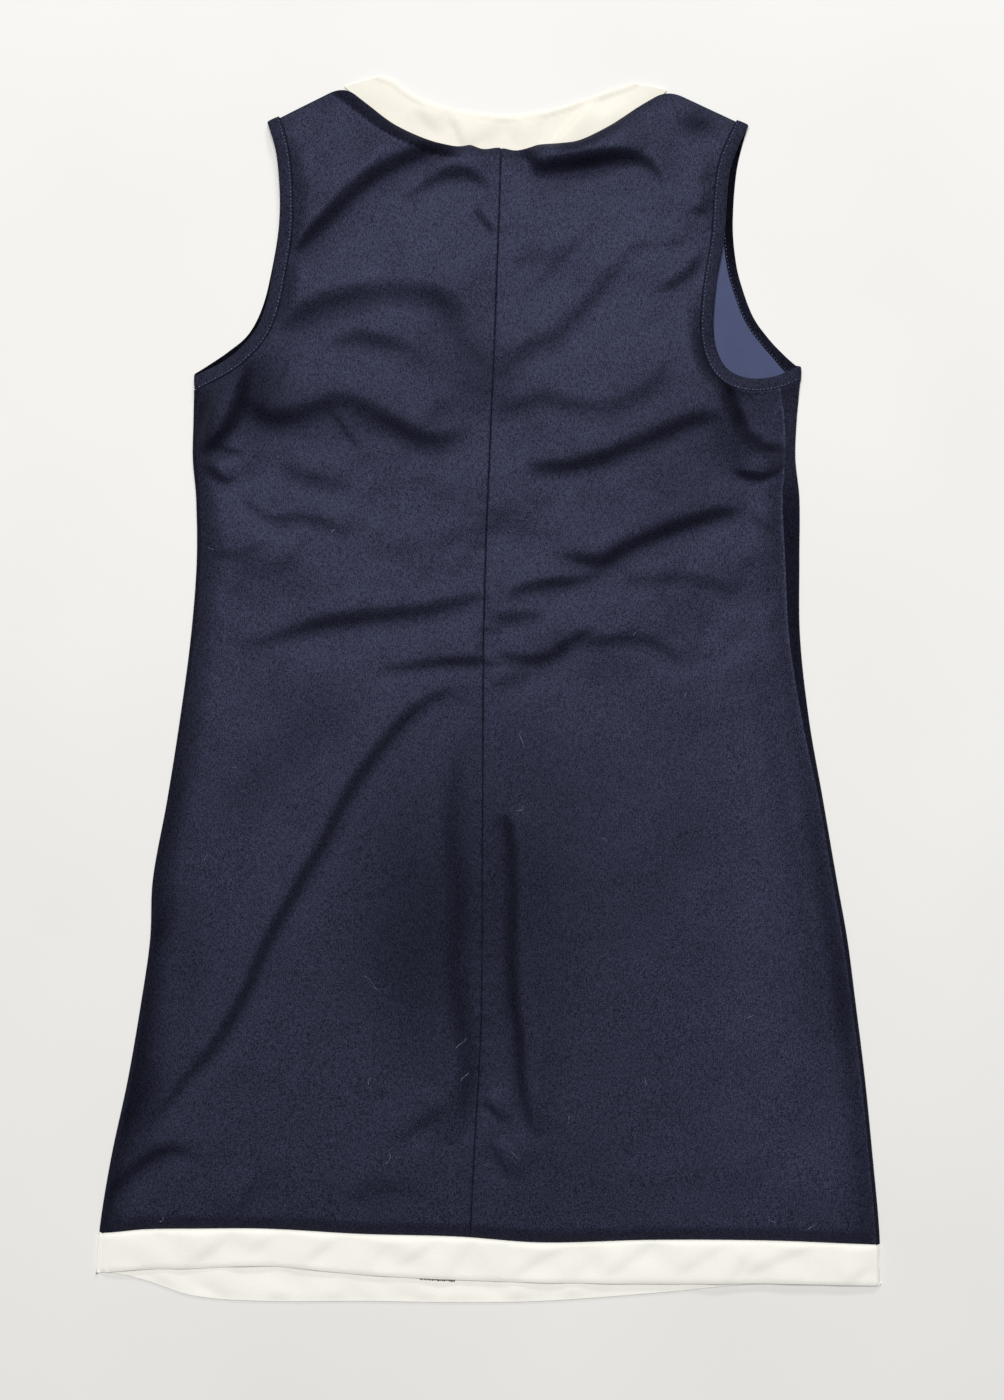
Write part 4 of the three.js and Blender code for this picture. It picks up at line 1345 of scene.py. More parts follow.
@dataclass
class ArmholeBand:
    """A band of doubled cloth round an armhole, over the upper layer and back along the lower one."""

    side: Side
    held: Held
    turn_steps: int = 8
    stitch_at: float = 0.86  # share of the width where the stitching runs
    stitch_pitch: float = 2.8
    stitch_length: float = 1.9
    stitch_radius: float = 0.22
    nap_over: float = -0.4
    # Painted shade of the lower half, which lies in the shade of the upper one.
    painted_shade_under: float = -2.1
    painted_shade_low: float = -1.1  # painted shade of the lower half, lighter where the open right armhole lets light in
    droop: float = 1.4  # how far the free edge hangs below the seam

    def section(self) -> Array:
        """Section across the band: share of its width from the free edge, and height from its middle."""
        return np.array([
            (1.0, -0.45), (1.0, 0.1), (0.975, 0.52), (0.93, 0.78), (0.885, 0.62), (self.stitch_at, 0.5),
            (0.82, 0.66), (0.72, 0.82), (0.5, 0.9), (0.3, 0.9), (0.14, 0.8), (0.05, 0.5), (0.01, 0.1),
            (0.02, -0.3), (0.1, -0.6), (0.5, -0.6), (0.9, -0.6),
        ])

    def heights(self, line: ArmholeLine) -> tuple[Array, Array]:
        """Heights of the middle of the upper half at its free edge and at its seam."""
        seam = self.held.relief.top(line.seam) - 0.62
        ends = np.minimum(line.along, line.along[-1] - line.along)
        free = seam - self.droop * smoothstep(ends / 20)
        return np.maximum(free, 2.1), seam

    def stations(self) -> tuple[Array, Array, Array]:
        """Stations round the ring: points of the free edge, ways across and normals."""
        over = ARMHOLE_LINES[self.side, Layer.BACK]
        under = ARMHOLE_LINES[self.side, Layer.FRONT]
        free, seam = self.heights(over)
        count = len(over.at)
        at = [*np.column_stack([over.at, free])]
        way = [*np.column_stack([over.across, seam - free])]
        up = [np.array([0, 0, 1.0])] * count
        neck = np.array(NECK_POINT[self.side])
        tip = np.array(ARMHOLES[self.side, Layer.BACK][0])
        out = np.array([neck[1] - tip[1], tip[0] - neck[0]]) * self.side.value
        turns = (np.array([self.side.value, 0.0]), out / np.linalg.norm(out))
        low_at = np.column_stack([under.at, np.full(len(under.at), 0.62)])[::-1]
        low_way = np.column_stack([under.across, np.zeros(len(under.at))])[::-1]
        self.turn(at, way, up, low_at[0], low_way[0], turns[0], 1.0)
        at += [*low_at]
        way += [*low_way]
        up += [np.array([0, 0, -1.0])] * len(low_at)
        self.turn(at, way, up, at[0], way[0], turns[1], -1.0)
        return np.array(at), np.array(way), np.array(up)

    def turn(
        self, at: list[Array], way: list[Array], up: list[Array], to: Array, way_to: Array,
        out: Array, down: float,
    ) -> None:
        """Adds the stations of a turned edge.

        Args:
            at: Points so far.
            way: Ways across so far.
            up: Normals so far.
            to: Point where the turn ends.
            way_to: Way across there.
            out: Unit direction in plan in which the turn bulges.
            down: 1 where it goes from the upper layer to the lower, or -1.
        """
        start, way_start = at[-1], way[-1]
        radius = abs(start[2] - to[2]) / 2
        for share in np.linspace(0, 1, self.turn_steps + 1)[1:-1]:
            angle = math.pi * share
            point = start + (to - start) * share
            point[2] = (start[2] + to[2]) / 2 + down * radius * math.cos(angle)
            point[:2] += out * radius * math.sin(angle)
            at.append(point)
            way.append(way_start + (way_to - way_start) * share)
            up.append(np.array([*(out * math.sin(angle)), down * math.cos(angle)]))

    def build(self) -> bpy.types.Object:
        """Makes the band.

        Returns:
            The piece.
        """
        at, way, up = self.stations()
        section = self.section()
        size, count = len(section), len(at)
        points = (
            at[:, None] + way[:, None] * section[None, :, :1] + up[:, None] * section[None, :, 1:]
        ).reshape(-1, 3)
        i, j = (grid.ravel() for grid in np.meshgrid(np.arange(count), np.arange(size), indexing="ij"))
        a, b = i * size + j, i * size + (j + 1) % size
        c, d = (i + 1) % count * size + (j + 1) % size, (i + 1) % count * size + j
        quads = np.vstack([np.stack([a, b, c], axis=1), np.stack([a, c, d], axis=1)])
        if self.side is Side.RIGHT:
            quads = quads[:, ::-1]
        parts = MeshParts()
        parts.add(points, quads)
        name = f"armhole_band_{self.side.word}_cloth"
        made = parts.build(name, (self.held.navy,))
        # The lower half gets painted shade, lighter where the open right armhole lets light in; the upper
        # half is a little darker than the panel.
        under = np.repeat(up[:, 2] < 0.5, size)
        shaded = smoothstep((points[:, 1] - 300) / 50) if self.side is Side.RIGHT else 1.0
        low = self.painted_shade_low + (self.painted_shade_under - self.painted_shade_low) * shaded
        parts.write(made, "nap_and_shade", np.where(under, low, self.nap_over))
        made = lay(made, [f"armhole_band_{self.side.word}"])
        self.stitch(at, way)
        return made

    def stitch(self, at: Array, way: Array) -> None:
        """Makes the row of stitches along the band's seam, on the faces that look up."""
        parts = MeshParts()
        draw = np.random.default_rng(3)
        over = len(ARMHOLE_LINES[self.side, Layer.BACK].at)
        under = over + self.turn_steps - 1
        seams = (slice(0, over), slice(under, under + len(ARMHOLE_LINES[self.side, Layer.FRONT].at)))
        for part in seams:
            line = at[part] + way[part] * self.stitch_at
            line[:, 2] += 0.52
            row = respaced(line, 0.35)
            step = round(self.stitch_pitch / 0.35)
            length = round(self.stitch_length / 0.35)
            for start in range(2, len(row) - length, step):
                stitch = row[start : start + length].copy()
                arch = np.sin(np.linspace(0, math.pi, len(stitch)))
                stitch[:, 2] += 0.16 * arch - 0.1 + draw.normal(0, 0.03)
                stitch[:, :2] += draw.normal(0, 0.06, 2)
                parts.add(*tube(stitch, self.stitch_radius, 5))
        trim(parts.build(f"armhole_stitches_{self.side.word}", (self.held.navy_thread,)))


NECK_FOLDS = (
    Crease("left end", 0.7, 6, ((-58, 444, 0), (-50, 436, 1), (-42, 428, 0.8), (-36, 420, 0))),
    Crease("left middle", 0.9, 5, ((-32, 440, 0), (-27, 430, 1), (-22, 418, 0.9), (-18, 410, 0))),
    Crease("middle", 0.5, 9, ((8, 436, 0), (16, 428, 1), (24, 418, 0.8), (32, 410, 0))),
    Crease("right streak", 1.7, 4.5,
           ((80, 452, 0), (71, 443, 0.8), (60, 431, 1), (50, 420, 0.8), (44, 412, 0))),
    Crease("right end", 0.6, 6, ((106, 452, 0), (96, 446, 1), (88, 440, 0.8), (80, 434, 0))),
)

# The folds of the hem trim, from left to right.
HEM_FOLDS = (
    Crease("first", 1.5, 5,
           ((-232, -440, 0), (-223, -434, 0.8), (-212, -427, 1), (-203, -420, 0.7), (-196, -414, 0))),
    Crease("second", 1.0, 5, ((-184, -430, 0), (-176, -424, 1), (-166, -418, 1), (-158, -412, 0))),
    Crease("third", 1.2, 4.5, ((-144, -438, 0), (-134, -431, 1), (-124, -424, 1), (-114, -417, 0))),
    Crease("fourth", 0.9, 6, ((-96, -442, 0), (-86, -432, 1), (-76, -422, 0.8), (-70, -416, 0))),
    Crease("fifth", 1.3, 4.5,
           ((-68, -440, 0), (-59, -433, 1), (-50, -427, 1), (-42, -422, 0.4), (-36, -418, 0))),
    Crease("sixth", 1.2, 6, ((-34, -452, 0.4), (-28, -442, 1), (-18, -426, 1), (-12, -418, 0))),
    Crease("seventh", 1.4, 5,
           ((14, -448, 0), (27, -441, 1), (40, -433, 1), (54, -426, 0.8), (64, -421, 0))),
    Crease("eighth", 0.8, 6, ((58, -450, 0), (68, -442, 1), (80, -434, 0.8), (90, -428, 0))),
    Crease("ninth", 1.3, 5,
           ((84, -449, 0), (94, -443, 0.9), (106, -434, 1), (118, -427, 0.8), (126, -421, 0))),
    Crease("tenth", 1.2, 5.5,
           ((140, -446, 0), (150, -440, 1), (164, -432, 1), (178, -424, 0.7), (186, -420, 0))),
    Crease("eleventh", 1.1, 5, ((180, -452, 0.4), (188, -444, 1), (194, -434, 1), (202, -422, 0))),
    Crease("twelfth", 1.4, 5,
           ((196, -446, 0), (206, -440, 1), (222, -433, 1), (238, -427, 0.8), (248, -422, 0))),
    Crease("thirteenth", 1.1, 4.5, ((268, -453, 0), (276, -449, 1), (285, -443, 0.9), (292, -437, 0))),
)


@dataclass
class NeckBand:
    """The inside of the front neck trim, which shows above the back neckline."""

    held: Held
    pitch: float = 1.9
    roll_width: float = 4.4  # the rolled free edge
    roll_rise: float = 0.7
    groove: float = 0.22
    fold_size: tuple[float, float] = (2.0, 1.35)  # times the heights and widths of the folds
    flat: Point = (262.0, 68.0)

    def top(self, at: Array, edge: Array, seam: Array) -> Array:
        """Heights of the band, at points in x and y, for its free edge and its seam."""
        away = distance(edge, at)
        near = np.clip(1 - np.abs(away / (self.roll_width / 2) - 1), 0, 1)
        roll = self.roll_rise * np.sqrt(near) * (away < self.roll_width)
        dip = self.groove * np.exp(-(((away - self.roll_width - 0.4) / 0.7) ** 2))
        settle = 0.4 * smoothstep(away / 16) * smoothstep(distance(seam, at) / 8)
        folds = creases_rise(NECK_FOLDS, at, *self.fold_size) * smoothstep(away / 6)
        base = CLOTH + 0.5 + settle + 0.25 * wander(at, 34, 8) + folds
        return np.maximum(base, CLOTH + 0.15) + roll - dip

    def build(self) -> bpy.types.Object:
        """Makes the band.

        Returns:
            The piece.
        """
        edge = smooth_line(NECK_BAND_TOP)
        seam = smooth_line(FRONT_NECK)
        seam = seam + np.array([0.0, SEAM_GAP])
        outline = np.vstack([seam, edge[::-1]])
        plan, faces = fill(respaced(np.vstack([outline, outline[:1]]), 1.8)[:-1], self.pitch, (0.3, 0.9, 1.6))
        outer = np.column_stack([plan, self.top(plan, edge, seam)])
        parts = cloth_parts(outer, faces)
        # Its face is the darker copy of the cream: painted shade.
        made = parts.build("neck_band_cloth", (self.held.cream_inside, self.held.cream))
        return lay(made, ["neck_band_front"])


@dataclass
class HemBands:
    """The two halves of the hem trim: the upper one, and the lower one that turns up at the sides."""

    held: Held
    pitch: float = 2.6
    rings: tuple[float, ...] = (0.3, 0.9, 1.8)
    edge_drop: float = 0.2  # how far the upper band comes down from its seam to its edge
    fold_width: float = 2.4  # the rounded folded edge
    fold_size: tuple[float, float] = (0.6, 1.35)  # times the heights and widths of the folds
    flat_upper: Point = (596.0, 46.0)
    flat_lower: Point = (612.0, 58.0)

    def upper(self, at: Array) -> Array:
        """Height of the top of the upper band, at points in x and y."""
        seam = np.stack([at[:, 0], hem_at(at[:, 0], "back_seam")], axis=1)
        start = self.held.relief.top(seam)
        depth = np.clip((seam[:, 1] - at[:, 1]) / HEM_BAND_DEPTH, 0, 1.1)
        to_edge = np.maximum(at[:, 1] - hem_at(at[:, 0], "back_edge"), 0)
        fold = 0.7 * (1 - smoothstep(to_edge / self.fold_width))
        rise = creases_rise(HEM_FOLDS, at, *self.fold_size) + 0.35 * wander(at, 40, 21)
        rise = rise * smoothstep(depth * 7)
        dip = 0.8 * np.exp(-(((depth * HEM_BAND_DEPTH - 0.4) / 1.0) ** 2))
        z = start - self.edge_drop * smoothstep(depth) + rise - fold - dip
        ends = np.minimum(at[:, 0] - side_at(at[:, 1], "left"), side_at(at[:, 1], "right") - at[:, 0])
        low = TURN_RADIUS + (z - TURN_RADIUS) * EdgeShape.ROLL.share(ends / 7)
        return np.maximum(np.minimum(z, np.maximum(low, TURN_RADIUS)), np.where(ends < 7, 0, 2.6))

    def lower(self, at: Array) -> Array:
        """Height of the underside of the lower band, at points in x and y."""
        to_edge = np.maximum(at[:, 1] - hem_at(at[:, 0], "front_edge"), 0)
        rise = 0.35 * (1 + wander(at, 30, 31)) * smoothstep(to_edge / 8)
        return rise * smoothstep((290 - np.abs(at[:, 0])) / 20)

    def build_upper(self) -> bpy.types.Object:
        """Makes the upper band.

        Returns:
            The piece.
        """
        gap = SEAM_GAP
        sides = []
        for side in Side:
            corner = np.array([297.0 * side.value])
            ends = [float(hem_at(corner, name)[0]) for name in ("back_seam", "back_edge")]
            ys = np.linspace(*ends, 14)
            inset = side_at(ys, f"{side.word}_inset") + gap
            sides.append(np.stack([side_at(ys, side.word) - side.value * inset, ys], axis=1))
        left, right = sides
        seam = across(left[0][0], right[0][0], "back_seam")
        edge = across(right[-1][0], left[-1][0], "back_edge")
        outline = np.vstack([seam, right[1:-1], edge, left[::-1][1:-1]])
        plan, faces = fill(outline, self.pitch, self.rings)
        outer = np.column_stack([plan, self.upper(plan)])
        parts = cloth_parts(outer, faces)
        made = parts.build("hem_band_upper_cloth", (self.held.cream, self.held.cream_inside))
        return lay(made, ["hem_band_back"])

    def turned_end(self, side: Side) -> Array:
        """Outline of the turned end of the lower band, flat, from its lower edge up.

        Args:
            side: Side of the dress.

        Returns:
            Points in u and y.
        """
        place = np.array([298.0 * side.value])
        low, high = (float(hem_at(place, name)[0]) for name in ("back_edge", "back_seam"))
        seam = side_seam_between(side, low, high)
        edge = side_at(seam[[0, -1], 1], side.word)
        return unfold(side, np.vstack([[edge[0], low], seam, [edge[1], high]]))

    def build_lower(self) -> bpy.types.Object:
        """Makes the lower band.

        Returns:
            The piece.
        """
        right, left = self.turned_end(Side.RIGHT), self.turned_end(Side.LEFT)
        reach = 294.0
        seam = across(reach, -reach, "front_edge", HEM_BAND_DEPTH)
        edge = across(-reach, reach, "front_edge")
        outline = subdivided(np.vstack([right, seam, left[::-1], edge]), 0.9)
        guides = [line[inside_of(outline, line)] for line in turn_guides(-460.0, -404.0)]
        plan, faces = fill(outline, self.pitch, self.rings, guides)
        outer = fold_up(plan, self.lower, self.upper)
        parts = cloth_parts(outer, faces[:, ::-1])
        made = parts.build("hem_band_lower_cloth", (self.held.cream, self.held.cream))
        return lay(made, ["hem_band_front"])


def side_seam_between(side: Side, low: float, high: float) -> Array:
    """Side seam on the upper layer between two heights.

    Args:
        side: Side of the dress.
        low: Where it starts.
        high: Where it ends.

    Returns:
        Its points.
    """
    ys = np.linspace(low, high, 14)
    xs = side_at(ys, side.word) - side.value * side_at(ys, f"{side.word}_inset")
    return np.stack([xs, ys], axis=1)


# Finishes


def linear(code: str) -> tuple[float, float, float, float]:
    """Turns an sRGB hex colour to linear light.

    Args:
        code: Six hex digits.

    Returns:
        Red, green, blue and an alpha of 1.
    """
    parts = [int(code[i : i + 2], 16) / 255 for i in (0, 2, 4)]
    r, g, b = (c / 12.92 if c <= 0.04045 else ((c + 0.055) / 1.055) ** 2.4 for c in parts)
    return r, g, b, 1.0


NodeInput = float | Sequence[float] | bpy.types.NodeSocket


def add_node(
    tree: bpy.types.NodeTree, kind: str, inputs: dict[str | int, NodeInput] | None = None, **settings: object
) -> bpy.types.Node:
    """Adds a node with its settings and its inputs.

    Args:
        tree: Node tree of the material.
        kind: Type of the node, without its prefix.
        inputs: A value or another node's socket for each input, by name or index.
        settings: Properties of the node.

    Returns:
        The node.
    """
    node = tree.nodes.new(f"ShaderNode{kind}")
    for name, value in settings.items():
        setattr(node, name, value)
    for name, value in (inputs or {}).items():
        if isinstance(value, bpy.types.NodeSocket):
            tree.links.new(value, node.inputs[name])
        else:
            node.inputs[name].default_value = value
    return node


def per_metre(millimetres: float) -> float:
    """Scale of a noise whose grains are this large."""
    return 1 / (millimetres * MM)


@dataclass(frozen=True)
class KnitFinish:
    """A knitted cloth: its colours, the grain of its nap and the relief of its stitches.

    Sizes are in millimetres. The real double knit has 1 mm wales, and the nap over them lies in streaks
    along the length of the dress.
    """

    name: str
    shade: str  # in the hollows of the nap
    light: str  # on its tips
    streak: Point  # width and length of a streak of nap
    streak_contrast: float
    mottle: float  # size of the uneven dye and wear
    mottle_contrast: float
    roughness: float
    sheen: float
    sheen_tint: str
    sheen_roughness: float
    bump: float
    stitch: Point  # width and height of one knit stitch, drawn coarser where it would not show
    specular: float = 0.25
    gloss_shade: str = "FFFFFF"  # tint of the shine in the hollows of the nap
    gloss_light: str = "FFFFFF"  # and on its tips
    nap_and_shade_gain: float = 0.0  # how much the nap attribute darkens and lightens the colour: pressed nap, painted shade and painted light
    gloss_gain: float = 0.25  # how much it takes from the shine
    nap_and_shade_roughness: float = 0.34  # and how much it dulls

    def make(self) -> bpy.types.Material:
        """Builds the material.

        Returns:
            The material.
        """
        material = bpy.data.materials.new(self.name)
        material.use_nodes = True
        tree = material.node_tree
        tree.nodes.clear()
        place = add_node(tree, "TexCoord").outputs["Object"]
        streaked = self.scaled(tree, place, self.streak)
        streaks = add_node(tree, "TexNoise", {"Vector": streaked, "Scale": 1.0, "Detail": 3.0,
                                              "Roughness": 0.75})
        fine = add_node(
            tree, "TexNoise", {"Vector": place, "Scale": per_metre(self.streak[0] * 0.9), "Detail": 2.0})
        mottle = add_node(tree, "TexNoise", {"Vector": place, "Scale": per_metre(self.mottle), "Detail": 4.0,
                                             "Roughness": 0.6})
        grain = add_node(tree, "Math", {0: streaks.outputs["Fac"], 1: fine.outputs["Fac"]}, operation="ADD")
        tone = add_node(tree, "Math", {0: grain.outputs[0], 1: -1.0}, operation="ADD")
        tone = add_node(tree, "Math", {0: tone.outputs[0], 1: self.streak_contrast, 2: 0.5},
                        operation="MULTIPLY_ADD")
        wear = add_node(tree, "Math", {0: mottle.outputs["Fac"], 1: -0.5}, operation="ADD")
        tone = add_node(tree, "Math", {0: wear.outputs[0], 1: self.mottle_contrast, 2: tone.outputs[0]},
                        operation="MULTIPLY_ADD", use_clamp=True)
        colour = add_node(tree, "Mix", {"Factor": tone.outputs[0], 6: linear(self.shade),
                                        7: linear(self.light)}, data_type="RGBA")
        colour_out = colour.outputs[2]
        gloss: NodeInput = linear(self.gloss_light)
        if self.gloss_shade != self.gloss_light:
            gloss = add_node(tree, "Mix", {"Factor": tone.outputs[0], 6: linear(self.gloss_shade), 7: gloss},
                             data_type="RGBA").outputs[2]
        rough = add_node(tree, "Math", {0: grain.outputs[0], 1: 0.16, 2: self.roughness - 0.16},
                         operation="MULTIPLY_ADD").outputs[0]
        # The nap attribute darkens, dulls and lightens: pressed nap, painted shade and painted light.
        if self.nap_and_shade_gain:
            nap_and_shade = add_node(tree, "Attribute", attribute_name="nap_and_shade")
            lit = add_node(tree, "Math", {0: nap_and_shade.outputs["Fac"], 1: self.nap_and_shade_gain, 2: 1.0},
                           operation="MULTIPLY_ADD")
            colour_out = add_node(
                tree, "VectorMath", {0: colour_out, 3: lit.outputs[0]}, operation="SCALE").outputs[0]
            kept = add_node(tree, "Math", {0: nap_and_shade.outputs["Fac"], 1: self.gloss_gain, 2: 1.0},
                            operation="MULTIPLY_ADD")
            gloss = add_node(tree, "VectorMath", {0: gloss, 3: kept.outputs[0]}, operation="SCALE").outputs[0]
            pressed_and_shaded = add_node(tree, "Math", {0: nap_and_shade.outputs["Fac"], 1: 0.0}, operation="MINIMUM")
            dulled = add_node(tree, "Math", {0: pressed_and_shaded.outputs[0], 1: -self.nap_and_shade_roughness},
                                 operation="MULTIPLY")
            rough = add_node(tree, "Math", {0: rough, 1: dulled.outputs[0]}, operation="ADD",
                             use_clamp=True).outputs[0]
        knit = self.stitches(tree, place)
        raised = add_node(tree, "Math", {0: grain.outputs[0], 1: 0.6, 2: knit}, operation="MULTIPLY_ADD")
        bump = add_node(tree, "Bump", {"Height": raised.outputs[0], "Strength": self.bump,
                                       "Distance": 0.35 * MM})
        shader = add_node(tree, "BsdfPrincipled", {
            "Base Color": colour_out, "Roughness": rough, "Normal": bump.outputs[0],
            "IOR": 1.5, "Specular IOR Level": self.specular, "Specular Tint": gloss,
            "Sheen Weight": self.sheen, "Sheen Roughness": self.sheen_roughness,
            "Sheen Tint": linear(self.sheen_tint),
        })
        out = add_node(tree, "OutputMaterial", {"Surface": shader.outputs[0]})
        out.is_active_output = True
        return material

    def scaled(
        self, tree: bpy.types.NodeTree, place: bpy.types.NodeSocket, size: Point
    ) -> bpy.types.NodeSocket:
        """Stretches coordinates so that a noise of scale 1 has grains of a width and length.

        Args:
            tree: Node tree of the material.
            place: Coordinates in metres.
            size: Width and length of the grains, in millimetres.

        Returns:
            The stretched coordinates.
        """
        by = (per_metre(size[0]), per_metre(size[1]), per_metre(size[0]))
        return add_node(tree, "VectorMath", {0: place, 1: by}, operation="MULTIPLY").outputs[0]

    def stitches(self, tree: bpy.types.NodeTree, place: bpy.types.NodeSocket) -> bpy.types.NodeSocket:
        """Height of the knit's stitches: small uneven pillows, one for each loop.

        Args:
            tree: Node tree of the material.
            place: Coordinates in metres.

        Returns:
            The height.
        """
        cells = self.scaled(tree, place, self.stitch)
        loops = add_node(tree, "TexVoronoi", {"Vector": cells, "Scale": 1.0, "Randomness": 0.75},
                         feature="SMOOTH_F1")
        return add_node(tree, "Math", {0: 1.0, 1: loops.outputs["Distance"]}, operation="SUBTRACT").outputs[0]


# Polyester double knit, brushed: a soft dark blue face whose short nap lies in faint streaks.
NAVY_DOUBLE_KNIT = KnitFinish(
    name="navy_double_knit_brushed",
    shade="0A0B11",
    light="1D1E2C",
    streak=(0.8, 2.6),
    streak_contrast=3.0,
    mottle=20.0,
    mottle_contrast=0.3,
    roughness=0.6,
    sheen=0.03,
    sheen_tint="9FA6D8",
    sheen_roughness=0.45,
    bump=0.6,
    stitch=(1.1, 1.4),
    specular=0.82,
    gloss_shade="5E617F",
    gloss_light="C2C8FF",
    nap_and_shade_gain=0.45,
)
# The unbrushed inside of the same cloth: paler, because its filaments are bare and catch the light.
NAVY_DOUBLE_KNIT_INSIDE = KnitFinish(
    name="navy_double_knit_inside",
    shade="363C59",
    light="4B5276",
    streak=(0.8, 1.6),
    streak_contrast=0.9,
    mottle=18.0,
    mottle_contrast=0.35,
    roughness=0.72,
    sheen=0.15,
    sheen_tint="C4CAF0",
    sheen_roughness=0.4,
    bump=0.25,
    stitch=(1.1, 1.4),
    nap_and_shade_gain=0.0,
)
# Polyester crepe knit, heat set: a matt warm white with a fine pebbled face.
CREAM_CREPE_KNIT = KnitFinish(
    name="cream_crepe_knit",
    shade="F1EEE3",
    light="FEFCF4",
    streak=(0.8, 1.0),
    streak_contrast=0.9,
    mottle=30.0,
    mottle_contrast=0.5,
    roughness=0.82,
    sheen=0.05,
    sheen_tint="FFFFFF",
    sheen_roughness=0.5,
    bump=0.22,
    stitch=(0.9, 1.1),
)
# The inside of the crepe knit: the same yarn coloured darker and warmer as painted shade, for the neck trim
# that lies low under the back neckline.
CREAM_CREPE_KNIT_INSIDE_SHADED = KnitFinish(
    name="cream_crepe_knit_inside_shaded",
    shade="E3DED0",
    light="F3EFE3",
    streak=(0.8, 1.0),
    streak_contrast=0.8,
    mottle=26.0,
    mottle_contrast=0.5,
    roughness=0.84,
    sheen=0.04,
    sheen_tint="FFFFFF",
    sheen_roughness=0.5,
    bump=0.2,
    stitch=(0.9, 1.1),
)


@dataclass(frozen=True)
class YarnFinish:
    """A spun thread: its colours, and the lay of its twist in millimetres."""

    name: str
    shade: str
    light: str
    twist: float
    roughness: float

    def make(self) -> bpy.types.Material:
        """Builds the material.

        Returns:
            The material.
        """
        material = bpy.data.materials.new(self.name)
        material.use_nodes = True
        tree = material.node_tree
        tree.nodes.clear()
        place = add_node(tree, "TexCoord").outputs["Object"]
        twist = add_node(tree, "TexWave", {"Vector": place, "Scale": per_metre(self.twist * 20),
                                           "Distortion": 3.0, "Detail": 2.0}, bands_direction="DIAGONAL")
        colour = add_node(tree, "Mix", {"Factor": twist.outputs["Fac"], 6: linear(self.shade),
                                        7: linear(self.light)}, data_type="RGBA")
        bump = add_node(tree, "Bump", {"Height": twist.outputs["Fac"], "Strength": 0.4, "Distance": 0.1 * MM})
        shader = add_node(tree, "BsdfPrincipled", {
            "Base Color": colour.outputs[2], "Roughness": self.roughness, "Normal": bump.outputs[0],
            "IOR": 1.46,
        })
        add_node(tree, "OutputMaterial", {"Surface": shader.outputs[0]})
        return material


# Textured polyester overlock thread: matt and nearly black, so that its loops read as dark ticks on cream.
OVERLOCK_THREAD = YarnFinish("navy_overlock_thread", "14151E", "2B2D3D", 0.6, 0.75)
# Spun polyester sewing thread, coloured lighter than the cloth as a painted highlight, so that its stitches
# show as light dots.
NAVY_THREAD = YarnFinish("navy_polyester_thread", "4E5272", "8489AC", 0.5, 0.5)
# Stray fibres of cotton lint: pale and matt.
COTTON_LINT = YarnFinish("cotton_lint", "6C6F8A", "A9ACBE", 0.6, 0.9)


@dataclass(frozen=True)
class BoardFinish:
    """A painted matt board for the dress to lie on, with a faint uneven tone."""

    name: str = "white_painted_board"
    shade: str = "E6E4E0"
    light: str = "EFEEEA"
    cloud: float = 260.0  # size of the uneven tone

    def make(self) -> bpy.types.Material:
        """Builds the material.

        Returns:
            The material.
        """
        material = bpy.data.materials.new(self.name)
        material.use_nodes = True
        tree = material.node_tree
        tree.nodes.clear()
        place = add_node(tree, "TexCoord").outputs["Object"]
        cloud = add_node(tree, "TexNoise", {"Vector": place, "Scale": per_metre(self.cloud), "Detail": 2.0})
        colour = add_node(tree, "Mix", {"Factor": cloud.outputs["Fac"], 6: linear(self.shade),
                                        7: linear(self.light)}, data_type="RGBA")
        shader = add_node(tree, "BsdfPrincipled", {"Base Color": colour.outputs[2], "Roughness": 0.9,
                                                   "Specular IOR Level": 0.1})
        add_node(tree, "OutputMaterial", {"Surface": shader.outputs[0]})
        return material


@dataclass
class HemOverlock:
    """Loops of navy overlock thread that show at the hem edge."""

    held: Held
    first: float = -52.0
    last: float = -25.0
    pitch: float = 1.5
    height: float = 1.7
    radius: float = 0.22

    def build(self) -> bpy.types.Object:
        """Makes the loops.

        Returns:
            The piece.
        """
        parts = MeshParts()
        draw = np.random.default_rng(14)
        for x in np.arange(self.first, self.last, self.pitch):
            y = float(hem_at(np.array([x]), "back_edge")[0]) - 0.3
            tall = self.height * draw.uniform(0.75, 1.2)
            t = np.linspace(0, 1, 9)
            line = np.stack([
                x + self.pitch * 0.42 * np.sin(t * math.pi * 2) * 0.6 + draw.normal(0, 0.1) * t,
                y + 1.2 - (tall + 1.2) * np.sin(t * math.pi),
                2.3 + 0.9 * np.cos(t * math.pi * 2),
            ], axis=1)
            parts.add(*tube(line, self.radius, 5))
        return trim(parts.build("hem_overlock_loops", (self.held.overlock_thread,)))


@dataclass
class DartSeam:
    """The end of the right bust dart's seam, which shows across the turned side of the front."""

    held: Held
    level: float = 183.5  # of the seam, above the middle of the dress
    length: float = 7.0  # of what shows, in from the turned edge
    edge_gap: float = 0.5  # between the turned edge and the near end
    slope: float = 0.08  # fall towards the side seam
    lift: float = 0.05  # of its middle above the cloth
    radius: float = 0.26

    def build(self) -> bpy.types.Object:
        """Makes the seam line.

        Returns:
            The piece.
        """
        parts = MeshParts()
        edge = float(side_at(np.array([self.level]), "right")[0])
        inward = np.linspace(self.edge_gap, self.length, 14)
        at = np.stack([edge - inward, self.level - self.slope * inward], axis=1)
        line = np.column_stack([at, self.held.relief.top(at) + self.lift])
        parts.add(*tube(line, self.radius, 6))
        return trim(parts.build("dart_seam_right", (self.held.overlock_thread,)))


